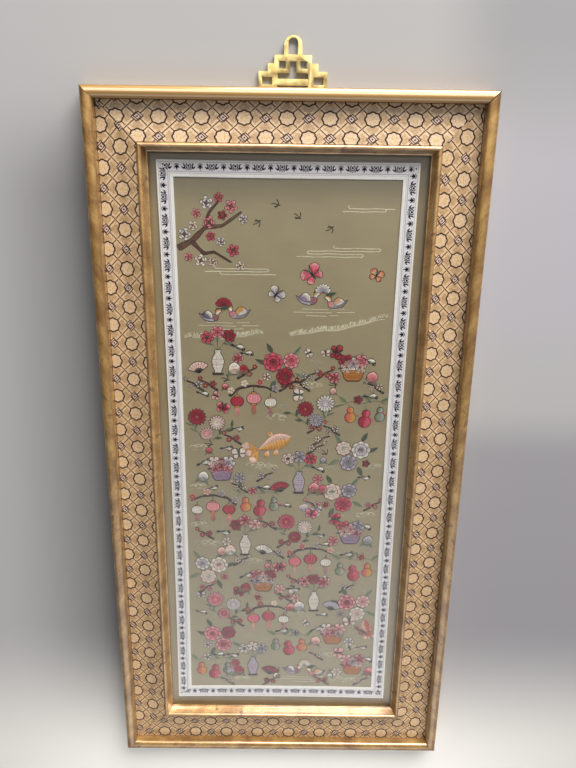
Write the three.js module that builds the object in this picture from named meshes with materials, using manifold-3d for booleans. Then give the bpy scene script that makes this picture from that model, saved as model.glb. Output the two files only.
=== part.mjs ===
// Framed silk embroidery panel: an embroidered silk with a woven ribbon border, mounted under glass in a
// gilt and brocade-covered wooden frame with a cast brass hanger.
// Millimetres. The panel lies on its back: +X runs to the right of the picture, +Y to its top, +Z out of its
// face.
// The origin is on the back plane, in the middle of the whole length, hanger included.
import * as THREE from "three";
import { mergeVertices } from "three/addons/utils/BufferGeometryUtils.js";
import Module from "manifold-3d";

// Driving dimensions
const FRAME_WIDTH = 450;
const FRAME_HEIGHT = 900;
const FRAME_DEPTH = 28;
const OUTER_RAIL_WIDTH = 13.5;
const BROCADE_WIDTH = 43;
const INNER_RAIL_WIDTH = 10.2;
const HANGER_RISE = 52.5;
const GAP = 0.35;

// The four rails of each moulding meet on 45 degree mitres, and each gives up this much length at either end.
const MITRE_SETBACK = GAP / Math.SQRT2;

const FRAME_CENTRE_Y = -HANGER_RISE / 2;
const HALF_TURN = Math.PI;
const QUARTER_TURN = Math.PI / 2;

const wasm = await Module();
wasm.setup();

function finish(color, roughness, metalness, opacity = 1) {
  return new THREE.MeshStandardMaterial({
    color,
    roughness,
    metalness,
    opacity,
    transparent: opacity < 1,
  });
}

const gilt = finish(0xb98f55, 0.45, 0.5);
const brocade = finish(0xd3b58c, 0.7, 0.1);
const board = finish(0x8a6a48, 0.8, 0);
const silk = finish(0x8f8566, 0.5, 0);
const ribbon = finish(0xdcdce4, 0.7, 0);
const glass = finish(0xf4f8f6, 0.05, 0, 0.2);
const hardboard = finish(0x6e5137, 0.85, 0);
const brass = finish(0xc2ac66, 0.4, 0.9);

// A geometry with its corners joined and the slivers left where two corners coincide dropped.
function weld(geometry) {
  const bare = geometry.clone();
  bare.deleteAttribute("normal");
  bare.deleteAttribute("uv");
  const merged = mergeVertices(bare, 1e-3);
  const corners = Array.from(merged.index.array);
  const kept = [];
  for (let i = 0; i < corners.length; i += 3) {
    const [a, b, c] = corners.slice(i, i + 3);
    if (a !== b && b !== c && c !== a) kept.push(a, b, c);
  }
  merged.setIndex(kept);
  return merged;
}

// A closed geometry as a solid that can be cut, and a cut solid as a geometry.
function toSolid(geometry) {
  const welded = weld(geometry);
  return new wasm.Manifold(
    new wasm.Mesh({
      numProp: 3,
      vertProperties: new Float32Array(welded.attributes.position.array),
      triVerts: new Uint32Array(welded.index.array),
    }),
  );
}

function toGeometry(solid) {
  const mesh = solid.getMesh();
  const geometry = new THREE.BufferGeometry();
  geometry.setAttribute("position", new THREE.BufferAttribute(mesh.vertProperties, 3));
  geometry.setIndex(new THREE.BufferAttribute(mesh.triVerts, 1));
  geometry.computeVertexNormals();
  return geometry;
}

function cutAway(geometry, tools = []) {
  let solid = toSolid(geometry);
  for (const tool of tools) solid = solid.subtract(toSolid(tool));
  return toGeometry(solid);
}

// A section is drawn with x as the distance in from the frame's outer edge and y as the height above the back
// plane. The rail runs along its own +X, with its outer edge on its own X axis and both ends mitred.
function mitredRail(section, sideLength, curveSegments) {
  const geometry = new THREE.ExtrudeGeometry(section, { depth: 1, bevelEnabled: false, curveSegments });
  const position = geometry.attributes.position;
  for (let i = 0; i < position.count; i++) {
    const inward = position.getX(i);
    const height = position.getY(i);
    const end = position.getZ(i) < 0.5 ? -1 : 1;
    const reach = sideLength / 2 - inward - MITRE_SETBACK;
    position.setXYZ(i, end * reach, inward, height);
  }
  return toGeometry(toSolid(geometry));
}

// The four sides of the frame: where each one's outer edge lies, and how its rail is turned to face inwards.
const SIDES = [
  { side: "bottom", length: FRAME_WIDTH, x: 0, y: -FRAME_HEIGHT / 2, turn: 0 },
  { side: "right", length: FRAME_HEIGHT, x: FRAME_WIDTH / 2, y: 0, turn: QUARTER_TURN },
  { side: "top", length: FRAME_WIDTH, x: 0, y: FRAME_HEIGHT / 2, turn: HALF_TURN },
  { side: "left", length: FRAME_HEIGHT, x: -FRAME_WIDTH / 2, y: 0, turn: -QUARTER_TURN },
];

function namedMesh(name, geometry, material) {
  const mesh = new THREE.Mesh(geometry, material);
  mesh.name = name;
  return mesh;
}

function onSide(mesh, side) {
  mesh.position.set(side.x, side.y, 0);
  mesh.rotation.z = side.turn;
  return mesh;
}

// Outer moulding: a plain wooden stile with a rounded gilt bead along its front.
const BEAD_RISE = 4.6;
const STILE_SHOULDER = FRAME_DEPTH - BEAD_RISE;

// An arc that rises by rise over a chord from (x0, y) to (x1, y), walked from x1 back to x0.
function archBack(shape, x0, x1, y, rise) {
  const halfChord = (x1 - x0) / 2;
  const radius = (halfChord ** 2 + rise ** 2) / (2 * rise);
  const halfAngle = Math.asin(halfChord / radius);
  const middle = Math.PI / 2;
  shape.absarc(x0 + halfChord, y + rise - radius, radius, middle - halfAngle, middle + halfAngle, false);
}

function outerSection() {
  const shape = new THREE.Shape();
  shape.moveTo(0, 0);
  shape.lineTo(OUTER_RAIL_WIDTH, 0);
  shape.lineTo(OUTER_RAIL_WIDTH, STILE_SHOULDER);
  archBack(shape, 0, OUTER_RAIL_WIDTH, STILE_SHOULDER, BEAD_RISE);
  shape.lineTo(0, 0);
  return shape;
}

// Brocade board: a wooden board whose face hollows out and rises towards the picture, with the cloth glued over
// it, level where it leaves the outer moulding and steepest where it meets the inner one.
const BROCADE_OUTER_EDGE = OUTER_RAIL_WIDTH + GAP;
const BROCADE_INNER_EDGE = BROCADE_OUTER_EDGE + BROCADE_WIDTH;
const BROCADE_LOW = 15;
const BROCADE_RISE = 6.4;
const CLOTH_THICKNESS = 1.2;
const COVE_RADIUS = (BROCADE_WIDTH ** 2 + BROCADE_RISE ** 2) / (2 * BROCADE_RISE);

// The face is an arc about a centre above the outer edge, and depth sets it back below the cloth's face.
function coveArc(shape, depth, forwards) {
  const radius = COVE_RADIUS + depth;
  const sweep = Math.asin(BROCADE_WIDTH / radius);
  const centreY = BROCADE_LOW + COVE_RADIUS;
  const level = -Math.PI / 2;
  if (forwards) shape.absarc(BROCADE_OUTER_EDGE, centreY, radius, level, level + sweep, false);
  else shape.absarc(BROCADE_OUTER_EDGE, centreY, radius, level + sweep, level, true);
}

function boardSection() {
  const shape = new THREE.Shape();
  shape.moveTo(BROCADE_OUTER_EDGE, 0);
  shape.lineTo(BROCADE_INNER_EDGE, 0);
  coveArc(shape, CLOTH_THICKNESS + GAP, false);
  shape.lineTo(BROCADE_OUTER_EDGE, 0);
  return shape;
}

function brocadeSection() {
  const shape = new THREE.Shape();
  shape.moveTo(BROCADE_OUTER_EDGE, BROCADE_LOW - CLOTH_THICKNESS);
  coveArc(shape, CLOTH_THICKNESS, true);
  coveArc(shape, 0, false);
  shape.lineTo(BROCADE_OUTER_EDGE, BROCADE_LOW - CLOTH_THICKNESS);
  return shape;
}

// What lies in the rebate, from the back: hardboard, silk-covered mount, embroidered silk, ribbon, glass.
const BACKING_LOW = 1;
const BACKING_THICKNESS = 2.7;
const MOUNT_THICKNESS = 1.5;
const SILK_THICKNESS = 1;
const RIBBON_THICKNESS = 1;
const GLASS_THICKNESS = 2;
const MOUNT_LOW = BACKING_LOW + BACKING_THICKNESS + GAP;
const SILK_LOW = MOUNT_LOW + MOUNT_THICKNESS + GAP;
const RIBBON_LOW = SILK_LOW + SILK_THICKNESS + GAP;
const GLASS_LOW = RIBBON_LOW + RIBBON_THICKNESS + GAP;
const GLASS_FACE = GLASS_LOW + GLASS_THICKNESS;

// Inner slip moulding: a small gilt bead, a face that slants down to the glass, and a rebate behind its lip.
const SLIP_OUTER_EDGE = BROCADE_INNER_EDGE + GAP;
const SIGHT_EDGE = SLIP_OUTER_EDGE + INNER_RAIL_WIDTH;
const SLIP_BEAD_RADIUS = 2.7;
const SLIP_TOP = 24.4;
const LIP_THICKNESS = 0.9;
const REBATE_DEPTH = 5.2;
const REBATE_EDGE = SIGHT_EDGE - REBATE_DEPTH;
const LIP_UNDERSIDE = GLASS_FACE + GAP;

function slipSection() {
  const beadCentreX = SLIP_OUTER_EDGE + SLIP_BEAD_RADIUS;
  const beadCentreY = SLIP_TOP - SLIP_BEAD_RADIUS;
  const shape = new THREE.Shape();
  shape.moveTo(SLIP_OUTER_EDGE, 0);
  shape.lineTo(REBATE_EDGE, 0);
  shape.lineTo(REBATE_EDGE, LIP_UNDERSIDE);
  shape.lineTo(SIGHT_EDGE, LIP_UNDERSIDE);
  shape.lineTo(SIGHT_EDGE, LIP_UNDERSIDE + LIP_THICKNESS);
  shape.lineTo(beadCentreX + SLIP_BEAD_RADIUS, beadCentreY);
  shape.absarc(beadCentreX, beadCentreY, SLIP_BEAD_RADIUS, 0, Math.PI, false);
  shape.lineTo(SLIP_OUTER_EDGE, 0);
  return shape;
}

// Cast brass hanger: a stepped fretwork plate let into the back of the top rail, with a loop for the nail.
// Heights are above the frame's top edge, so the foot that is screwed to the rail has negative ones.
const HANGER_THICKNESS = 4;
const HANGER_FOOT = -11;
const HANGER_OFFSET = 2.5;
const TIERS = [
  { halfWidth: 37.4, top: 16.8 },
  { halfWidth: 27.4, top: 24.8 },
  { halfWidth: 20.2, top: 33.2 },
];
const LOOP = { outerRadius: 9.9, slotRadius: 4.95, slotBottom: 33.7, crownThickness: 2.6 };
const LOOP_CENTRE = HANGER_RISE - LOOP.outerRadius;
const SLOT_CENTRE = HANGER_RISE - LOOP.crownThickness - LOOP.slotRadius;
const FRET_WINDOWS = [
  { left: -14.8, right: -7.9, bottom: 19.7, top: 27.2 },
  { left: 7.9, right: 14.8, bottom: 19.7, top: 27.2 },
  { left: -33.2, right: -22.6, bottom: 3.6, top: 11.3 },
  { left: 22.6, right: 33.2, bottom: 3.6, top: 11.3 },
  { left: -16.8, right: 16.8, bottom: -4, top: 2.8 },
];
const FRET_TEE = { stemHalf: 3.4, armHalf: 16.5, armBottom: 9.4, armTop: 15.1, stemTop: 27 };
const SCREW = { x: 22, y: -7.5, headRadius: 2.7, shankRadius: 1.4, length: 13, rim: 0.4, headDepth: 1.6 };

function hangerOutline() {
  const shape = new THREE.Shape();
  shape.moveTo(-TIERS[0].halfWidth, HANGER_FOOT);
  shape.lineTo(TIERS[0].halfWidth, HANGER_FOOT);
  for (let i = 0; i < TIERS.length; i++) {
    const next = i + 1 < TIERS.length ? TIERS[i + 1].halfWidth : LOOP.outerRadius;
    shape.lineTo(TIERS[i].halfWidth, TIERS[i].top);
    shape.lineTo(next, TIERS[i].top);
  }
  shape.absarc(0, LOOP_CENTRE, LOOP.outerRadius, 0, Math.PI, false);
  for (let i = TIERS.length - 1; i >= 0; i--) {
    const next = i + 1 < TIERS.length ? TIERS[i + 1].halfWidth : LOOP.outerRadius;
    shape.lineTo(-next, TIERS[i].top);
    shape.lineTo(-TIERS[i].halfWidth, TIERS[i].top);
  }
  return shape;
}

// The holes of the fretwork: the nail slot in the loop, the windows and the upside-down T between them.
function fretShapes() {
  const slot = new THREE.Shape();
  slot.moveTo(-LOOP.slotRadius, LOOP.slotBottom);
  slot.lineTo(LOOP.slotRadius, LOOP.slotBottom);
  slot.absarc(0, SLOT_CENTRE, LOOP.slotRadius, 0, Math.PI, false);

  const windows = FRET_WINDOWS.map(({ left, right, bottom, top }) => {
    const corners = [
      [left, bottom],
      [right, bottom],
      [right, top],
      [left, top],
    ];
    return new THREE.Shape(corners.map(([x, y]) => new THREE.Vector2(x, y)));
  });

  const { stemHalf, armHalf, armBottom, armTop, stemTop } = FRET_TEE;
  const half = [
    [armHalf, armBottom],
    [armHalf, armTop],
    [stemHalf, armTop],
    [stemHalf, stemTop],
  ];
  const mirrored = half.map(([x, y]) => [-x, y]).reverse();
  const tee = new THREE.Shape(half.concat(mirrored).map(([x, y]) => new THREE.Vector2(x, y)));
  return [slot, ...windows, tee];
}

// A countersunk screw standing on its head, grown all round by clearance when it is the hole for itself.
function screwGeometry(clearance) {
  const head = SCREW.headRadius + clearance;
  const shank = SCREW.shankRadius + clearance;
  const profile = [
    new THREE.Vector2(0, -clearance),
    new THREE.Vector2(head, -clearance),
    new THREE.Vector2(head, SCREW.rim + clearance),
    new THREE.Vector2(shank, SCREW.headDepth + clearance),
    new THREE.Vector2(shank, SCREW.length + clearance),
    new THREE.Vector2(0, SCREW.length + clearance),
  ];
  const geometry = new THREE.LatheGeometry(profile, 16);
  geometry.rotateX(QUARTER_TURN);
  return geometry;
}

function buildHanger() {
  const extrude = (shape, depth) =>
    new THREE.ExtrudeGeometry(shape, { depth, bevelEnabled: false, curveSegments: 20 });
  const overrun = 1;
  const through = HANGER_THICKNESS + 2 * overrun;
  const frets = fretShapes().map((shape) => extrude(shape, through).translate(0, 0, -overrun));
  const screwHoles = [-1, 1].map((hand) => screwGeometry(GAP).translate(hand * SCREW.x, SCREW.y, 0));
  const plate = extrude(hangerOutline(), HANGER_THICKNESS);
  const hanger = namedMesh("hanger", cutAway(plate, [...frets, ...screwHoles]), brass);
  hanger.position.set(HANGER_OFFSET, FRAME_HEIGHT / 2, 0);
  return hanger;
}

function buildScrew(name, hand) {
  const screw = namedMesh(name, toGeometry(toSolid(screwGeometry(0))), brass);
  screw.position.set(HANGER_OFFSET + hand * SCREW.x, FRAME_HEIGHT / 2 + SCREW.y, 0);
  return screw;
}

// The back of the top rail is cut out for the hanger's foot and drilled for its screws.
function hangerSeatTools() {
  const width = 2 * (TIERS[0].halfWidth + GAP);
  const reach = -HANGER_FOOT + GAP;
  const depth = HANGER_THICKNESS + GAP;
  const overrun = 1;
  const pocket = new THREE.BoxGeometry(width, reach + overrun, depth + overrun);
  pocket.translate(0, (reach - overrun) / 2, (depth - overrun) / 2);
  const holes = [-1, 1].map((hand) => screwGeometry(GAP).translate(hand * SCREW.x, -SCREW.y, 0));
  return [pocket, ...holes].map((tool) => tool.translate(-HANGER_OFFSET, 0, 0));
}

// Everything in the rebate but the border and its silk is cut to this size.
const PACKAGE_WIDTH = FRAME_WIDTH - 2 * (REBATE_EDGE + GAP);
const PACKAGE_HEIGHT = FRAME_HEIGHT - 2 * (REBATE_EDGE + GAP);

// The ribbon's outer rectangle sits a little to the left in the frame's opening, as it was glued down.
const BORDER_WIDTH = 296.5;
const BORDER_HEIGHT = 745;
const BORDER_CENTRE_X = -1;
const BORDER_CENTRE_Y = 2;
const RIBBON_WIDTH = 18.5;
const SILK_MARGIN = 2;

function slab(name, [width, height], low, thickness, material) {
  const mesh = namedMesh(name, new THREE.BoxGeometry(width, height, thickness), material);
  mesh.position.z = low + thickness / 2;
  return mesh;
}

// A ribbon lies along its own +X with its outer edge on the X axis. bow lifts its middle towards the picture.
function ribbonGeometry(length, bow) {
  const steps = 14;
  const point = (t, inward) => {
    const reach = length / 2 - inward - MITRE_SETBACK;
    return new THREE.Vector2(t * reach, inward + bow * (1 - t * t));
  };
  const edge = Array.from({ length: steps + 1 }, (unused, i) => (2 * i) / steps - 1);
  const outline = edge.map((t) => point(t, 0)).concat(edge.reverse().map((t) => point(t, RIBBON_WIDTH)));
  const settings = { depth: RIBBON_THICKNESS, bevelEnabled: false };
  return toGeometry(toSolid(new THREE.ExtrudeGeometry(new THREE.Shape(outline), settings)));
}

// Each length of ribbon: where its outer edge lies on the border's rectangle, and how far its middle strays.
const RIBBONS = [
  { side: "bottom", length: BORDER_WIDTH, x: 0, y: -BORDER_HEIGHT / 2, turn: 0, bow: 0.3 },
  { side: "right", length: BORDER_HEIGHT, x: BORDER_WIDTH / 2, y: 0, turn: QUARTER_TURN, bow: 1 },
  { side: "top", length: BORDER_WIDTH, x: 0, y: BORDER_HEIGHT / 2, turn: HALF_TURN, bow: 0.4 },
  { side: "left", length: BORDER_HEIGHT, x: -BORDER_WIDTH / 2, y: 0, turn: -QUARTER_TURN, bow: 2.4 },
];

function buildMouldings() {
  const mouldings = new THREE.Group();
  for (const side of SIDES) {
    let outer = mitredRail(outerSection(), side.length, 14);
    if (side.side === "top") outer = cutAway(outer, hangerSeatTools());
    const pieces = [
      namedMesh(`outer_rail_${side.side}`, outer, gilt),
      namedMesh(`board_${side.side}`, mitredRail(boardSection(), side.length, 12), board),
      namedMesh(`brocade_${side.side}`, mitredRail(brocadeSection(), side.length, 12), brocade),
      namedMesh(`inner_rail_${side.side}`, mitredRail(slipSection(), side.length, 12), gilt),
    ];
    for (const piece of pieces) mouldings.add(onSide(piece, side));
  }
  return mouldings;
}

function buildPicture() {
  const picture = new THREE.Group();
  const rebateSize = [PACKAGE_WIDTH, PACKAGE_HEIGHT];
  picture.add(slab("backing_board", rebateSize, BACKING_LOW, BACKING_THICKNESS, hardboard));
  picture.add(slab("silk_mount", rebateSize, MOUNT_LOW, MOUNT_THICKNESS, silk));
  picture.add(slab("glass_pane", rebateSize, GLASS_LOW, GLASS_THICKNESS, glass));

  const border = new THREE.Group();
  border.position.set(BORDER_CENTRE_X, BORDER_CENTRE_Y, 0);
  const silkSize = [BORDER_WIDTH - 2 * SILK_MARGIN, BORDER_HEIGHT - 2 * SILK_MARGIN];
  border.add(slab("embroidered_silk", silkSize, SILK_LOW, SILK_THICKNESS, silk));
  for (const strip of RIBBONS) {
    const mesh = namedMesh(`ribbon_${strip.side}`, ribbonGeometry(strip.length, strip.bow), ribbon);
    onSide(mesh, strip);
    mesh.position.z = RIBBON_LOW;
    border.add(mesh);
  }
  picture.add(border);
  return picture;
}

const panel = new THREE.Group();
panel.position.y = FRAME_CENTRE_Y;
panel.add(buildMouldings());
panel.add(buildPicture());
panel.add(buildHanger());
panel.add(buildScrew("hanger_screw_left", -1));
panel.add(buildScrew("hanger_screw_right", 1));

export default panel;
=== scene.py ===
import math
import re

import bpy
import numpy as np
from mathutils import Matrix, Vector


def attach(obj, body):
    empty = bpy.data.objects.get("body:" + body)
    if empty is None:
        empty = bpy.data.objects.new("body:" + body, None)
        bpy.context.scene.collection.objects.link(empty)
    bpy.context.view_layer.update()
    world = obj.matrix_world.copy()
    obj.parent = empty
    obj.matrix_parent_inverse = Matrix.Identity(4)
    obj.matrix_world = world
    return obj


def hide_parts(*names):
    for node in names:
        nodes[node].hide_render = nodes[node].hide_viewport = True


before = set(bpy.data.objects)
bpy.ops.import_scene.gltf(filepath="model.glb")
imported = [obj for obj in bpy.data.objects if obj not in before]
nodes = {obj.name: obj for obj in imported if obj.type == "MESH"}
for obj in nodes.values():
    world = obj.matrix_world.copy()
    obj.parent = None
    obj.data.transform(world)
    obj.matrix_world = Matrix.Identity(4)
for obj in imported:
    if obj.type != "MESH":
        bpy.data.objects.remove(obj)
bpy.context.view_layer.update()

# Boards and backing: four plain softwood boards carry the brocade, and a sheet of brown hardboard closes the
# back. Both are bare sawn stuff, the boards nailed up behind the mouldings and the hardboard pinned in the
# rebate behind the picture.
MM = 0.001


def tint(red, green, blue):
    """A colour as it looks on a screen, 0 to 255, in the linear values that a shader takes."""
    parts = [part / 255 for part in (red, green, blue)]
    return [p / 12.92 if p <= 0.04045 else ((p + 0.055) / 1.055) ** 2.4 for p in parts] + [1.0]


def sum_node(operation, turned=False):
    """A method of Amount that works one operation of the Math node, the amount last where it is turned."""
    def method(self, *others):
        return self.work(operation, *others, self) if turned else self.work(operation, self, *others)

    return method


class Amount:
    """A number that varies over a finish. It adds, multiplies and compares as any number does."""

    def __init__(self, tree, socket):
        self.tree, self.socket = tree, socket

    def work(self, operation, *values):
        node = self.tree.nodes.new("ShaderNodeMath")
        node.operation = operation
        for place, value in zip(node.inputs, values):
            if isinstance(value, Amount):
                self.tree.links.new(value.socket, place)
            else:
                place.default_value = value
        return Amount(self.tree, node.outputs[0])

    __add__, __radd__ = sum_node("ADD"), sum_node("ADD", turned=True)
    __sub__, __rsub__ = sum_node("SUBTRACT"), sum_node("SUBTRACT", turned=True)
    __mul__, __rmul__ = sum_node("MULTIPLY"), sum_node("MULTIPLY", turned=True)
    __truediv__, __abs__ = sum_node("DIVIDE"), sum_node("ABSOLUTE")
    least, most, floor = sum_node("MINIMUM"), sum_node("MAXIMUM"), sum_node("FLOOR")
    sine, cosine, angle_over, root = (sum_node(name) for name in ("SINE", "COSINE", "ARCTAN2", "SQRT"))

    def ease(self, low, high, start=0.0, end=1.0):
        """Start below low, end above high, and a smooth rise between them."""
        node = self.tree.nodes.new("ShaderNodeMapRange")
        node.interpolation_type = "SMOOTHSTEP"
        self.tree.links.new(self.socket, node.inputs["Value"])
        for name, value in zip(("From Min", "From Max", "To Min", "To Max"), (low, high, start, end)):
            node.inputs[name].default_value = value
        return Amount(self.tree, node.outputs["Result"])

    def under(self, edge, soft):
        """1 where this is below edge and 0 above it, with a soft change over."""
        return self.ease(edge - soft, edge + soft, 1.0, 0.0)


class Finish:
    """A material under construction: a Principled shader and the readings and layers that feed it."""

    def __init__(self, name, roughness=0.5, metallic=0.0, **sockets):
        self.material = bpy.data.materials.new(name)
        self.material.use_nodes = True
        self.tree = self.material.node_tree
        self.shader = self.tree.nodes["Principled BSDF"]
        for socket, value in {"Roughness": roughness, "Metallic": metallic, **sockets}.items():
            self.shader.inputs[socket.replace("_", " ")].default_value = value

    def place(self, attribute=None):
        """Where a point lies, in millimetres: in the part's frame, or by an attribute of the piece."""
        if attribute:
            source = self.tree.nodes.new("ShaderNodeAttribute")
            source.attribute_name = attribute
            return source.outputs["Vector"]
        source = self.tree.nodes.new("ShaderNodeTexCoord").outputs["Object"]
        scaled = self.tree.nodes.new("ShaderNodeVectorMath")
        scaled.operation = "SCALE"
        scaled.inputs["Scale"].default_value = 1 / MM
        self.tree.links.new(source, scaled.inputs[0])
        return scaled.outputs[0]

    def axes(self, place):
        split = self.tree.nodes.new("ShaderNodeSeparateXYZ")
        self.tree.links.new(place, split.inputs[0])
        return [Amount(self.tree, socket) for socket in split.outputs]

    def cloud(self, place, size, detail=3.0, stretch=(1, 1, 1), distortion=0.0):
        """Soft noise about 0.5, its lumps size millimetres across, drawn out by stretch."""
        mapping = self.tree.nodes.new("ShaderNodeMapping")
        mapping.inputs["Scale"].default_value = [1 / (size * s) for s in stretch]
        noise = self.tree.nodes.new("ShaderNodeTexNoise")
        for socket, value in (("Scale", 1.0), ("Detail", detail), ("Distortion", distortion)):
            noise.inputs[socket].default_value = value
        self.tree.links.new(place, mapping.inputs[0])
        self.tree.links.new(mapping.outputs[0], noise.inputs["Vector"])
        return Amount(self.tree, noise.outputs["Fac"])

    def shade(self, amount, below, above):
        """One colour giving way to another as amount goes from 0 to 1. Each is screen values or a shade."""
        mix = self.tree.nodes.new("ShaderNodeMix")
        mix.data_type = "RGBA"
        self.tree.links.new(amount.socket, mix.inputs["Factor"])
        for place, colour in ((mix.inputs[6], below), (mix.inputs[7], above)):
            if isinstance(colour, bpy.types.NodeSocket):
                self.tree.links.new(colour, place)
            else:
                place.default_value = tint(*colour)
        return mix.outputs[2]

    def paint(self, colour, *layers):
        """Paints the surface one colour, then each layer's colour over it as far as its amount goes."""
        for amount, above in layers:
            colour = self.shade(amount, colour, above)
        self.tree.links.new(colour, self.shader.inputs["Base Color"])

    def feed(self, socket, amount):
        self.tree.links.new(amount.socket, self.shader.inputs[socket])

    def relief(self, height, depth):
        """Raises the surface by height, where 1 stands for depth millimetres."""
        bump = self.tree.nodes.new("ShaderNodeBump")
        bump.inputs["Distance"].default_value = depth * MM
        self.tree.links.new(height.socket, bump.inputs["Height"])
        self.tree.links.new(bump.outputs["Normal"], self.shader.inputs["Normal"])


def refinish(node, finish):
    """Gives a piece of the CAD model a new material in place of its own."""
    nodes[node].data.materials.clear()
    nodes[node].data.materials.append(finish.material)


board_wood = Finish("board_wood", 0.75)
place = board_wood.place()
grain = board_wood.cloud(place, 5, detail=6, stretch=(9, 1, 1), distortion=0.6)
fibres = board_wood.cloud(place, 1.2, detail=2, stretch=(16, 1, 1))
board_wood.paint((128, 92, 58), (grain.ease(0.3, 0.7) * 0.7 + fibres * 0.3, (176, 140, 98)))
board_wood.relief(grain * 0.6 + fibres * 0.4, 0.25)

hardboard = Finish("hardboard", 0.8)
place = hardboard.place()
fibres = hardboard.cloud(place, 1.6, detail=8, distortion=1.2)
blotches = hardboard.cloud(place, 60, detail=2)
hardboard.paint((84, 56, 36), (fibres * 0.7 + blotches * 0.3, (132, 96, 64)))
hardboard.relief(fibres, 0.15)

for side in ("bottom", "right", "top", "left"):
    refinish(f"board_{side}", board_wood)
refinish("backing_board", hardboard)


# Outer moulding: four lengths of wooden stile with a rounded bead along the front, gilt with bronze powder in
# lacquer over brown, mitred and pinned at the corners. The gilt is rubbed brown along the flanks and
# chipped here and there down to the pale ground.
FRAME_WIDTH = 450
FRAME_HEIGHT = 900
HANGER_RISE = 52.5
CENTRE_Y = -HANGER_RISE / 2
SIDES = {
    "bottom": (FRAME_WIDTH, (0, -FRAME_HEIGHT / 2), 0),
    "right": (FRAME_HEIGHT, (FRAME_WIDTH / 2, 0), math.pi / 2),
    "top": (FRAME_WIDTH, (0, FRAME_HEIGHT / 2), math.pi),
    "left": (FRAME_HEIGHT, (-FRAME_WIDTH / 2, 0), -math.pi / 2),
}
OUTER_WIDTH = 13.5
FLANK = 12
SHOULDER = 23.4
BEAD_RISE = 4.6
HANGER_X = 2.5
HANGER_FOOT_WIDTH = 74.8
TOP_EDGE = CENTRE_Y + FRAME_HEIGHT / 2
# How far each rail's two ends stop short of the mitre line. The top right joint has opened.
TIGHT = 0.18
OUTER_JOINTS = {"bottom": (0.2, 0.2), "right": (0.2, 0.3), "top": (0.9, 0.2), "left": (0.2, 0.2)}


def deselect_all():
    if bpy.context.object and bpy.context.object.mode != "OBJECT":
        bpy.ops.object.mode_set(mode="OBJECT")
    bpy.ops.object.select_all(action="DESELECT")


def take_up(piece):
    """Makes piece the one that the next operators act on."""
    deselect_all()
    piece.select_set(True)
    bpy.context.view_layer.objects.active = piece


def smooth(piece, angle):
    take_up(piece)
    bpy.ops.object.shade_smooth_by_angle(angle=math.radians(angle))


def settle(piece, middle, turn):
    """Moves a piece that was made along +X about the origin to its side of the frame, place and all."""
    x, y = middle
    move = Matrix.Translation((x * MM, (y + CENTRE_Y) * MM, 0)) @ Matrix.Rotation(turn, 4, "Z")
    piece.data.transform(move)


def moulding(name, outline, length, cuts=48, early=TIGHT, late=TIGHT):
    """A length of moulding: its section drawn, pulled out, cut across for the hand's unevenness, and mitred.
    early and late are how far each end stops short of the corner's mitre line."""
    half = length / 2 * MM
    section = bpy.data.meshes.new(name)
    section.from_pydata([(-half, x * MM, z * MM) for x, z in outline], [], [range(len(outline))])
    rail = bpy.data.objects.new(name, section)
    bpy.context.scene.collection.objects.link(rail)
    take_up(rail)
    bpy.ops.object.mode_set(mode="EDIT")
    bpy.ops.mesh.select_all(action="SELECT")
    bpy.ops.mesh.extrude_region_move(TRANSFORM_OT_translate={"value": (2 * half, 0, 0)})
    for step in range(1, cuts):
        bpy.ops.mesh.select_all(action="SELECT")
        across = -half + 2 * half * step / cuts
        bpy.ops.mesh.bisect(plane_co=(across, 0, 0), plane_no=(1, 0, 0))
    for end, short in ((-1, early), (1, late)):
        bpy.ops.mesh.select_all(action="SELECT")
        corner = (end * (half - short * MM), 0, 0)
        bpy.ops.mesh.bisect(plane_co=corner, plane_no=(end, 1, 0), clear_outer=True, use_fill=True)
    bpy.ops.mesh.select_all(action="SELECT")
    bpy.ops.mesh.normals_make_consistent(inside=False)
    bpy.ops.object.mode_set(mode="OBJECT")
    return rail


def points_of(piece):
    """A piece's points in millimetres, one row each."""
    return np.array([v.co[:] for v in piece.data.vertices]) / MM


def put_points(piece, points):
    piece.data.vertices.foreach_set("co", (np.asarray(points) * MM).ravel())


def mark(piece, name, rows):
    """Keeps three numbers with each point of a piece, for its finish to read."""
    kept = piece.data.attributes.new(name, "FLOAT_VECTOR", "POINT")
    kept.data.foreach_set("vector", np.asarray(rows, float).ravel())


def measure_along(rail, length, around):
    """Gives each point of a rail its place along it, around its section and in from the nearer mitre."""
    mark(rail, "run", [(x, around(y, z), length / 2 - abs(x) - y) for x, y, z in points_of(rail)])


def uneven(rail, depth, top):
    """Lets the front of a rail rise and fall a little along its length, as hand-finished wood does."""
    points = points_of(rail)
    seed = len(rail.name) + ord(rail.name[-1])
    wave = sum(np.sin(points[:, 0] / reach + seed * k) for k, reach in enumerate((31, 17, 9.3), 1)) / 3
    points[:, 2] += depth * wave * (points[:, 2] > top)
    put_points(rail, points)


def cut_box(piece, middle, size):
    """Takes a box-shaped housing out of a piece."""
    deselect_all()
    bpy.ops.mesh.primitive_cube_add(size=1, location=[m * MM for m in middle], scale=[s * MM for s in size])
    cutter = bpy.context.object
    take_up(piece)
    housing = piece.modifiers.new("housing", "BOOLEAN")
    housing.operation = "DIFFERENCE"
    housing.object = cutter
    bpy.ops.object.modifier_apply(modifier=housing.name)
    bpy.data.objects.remove(cutter)


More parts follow.
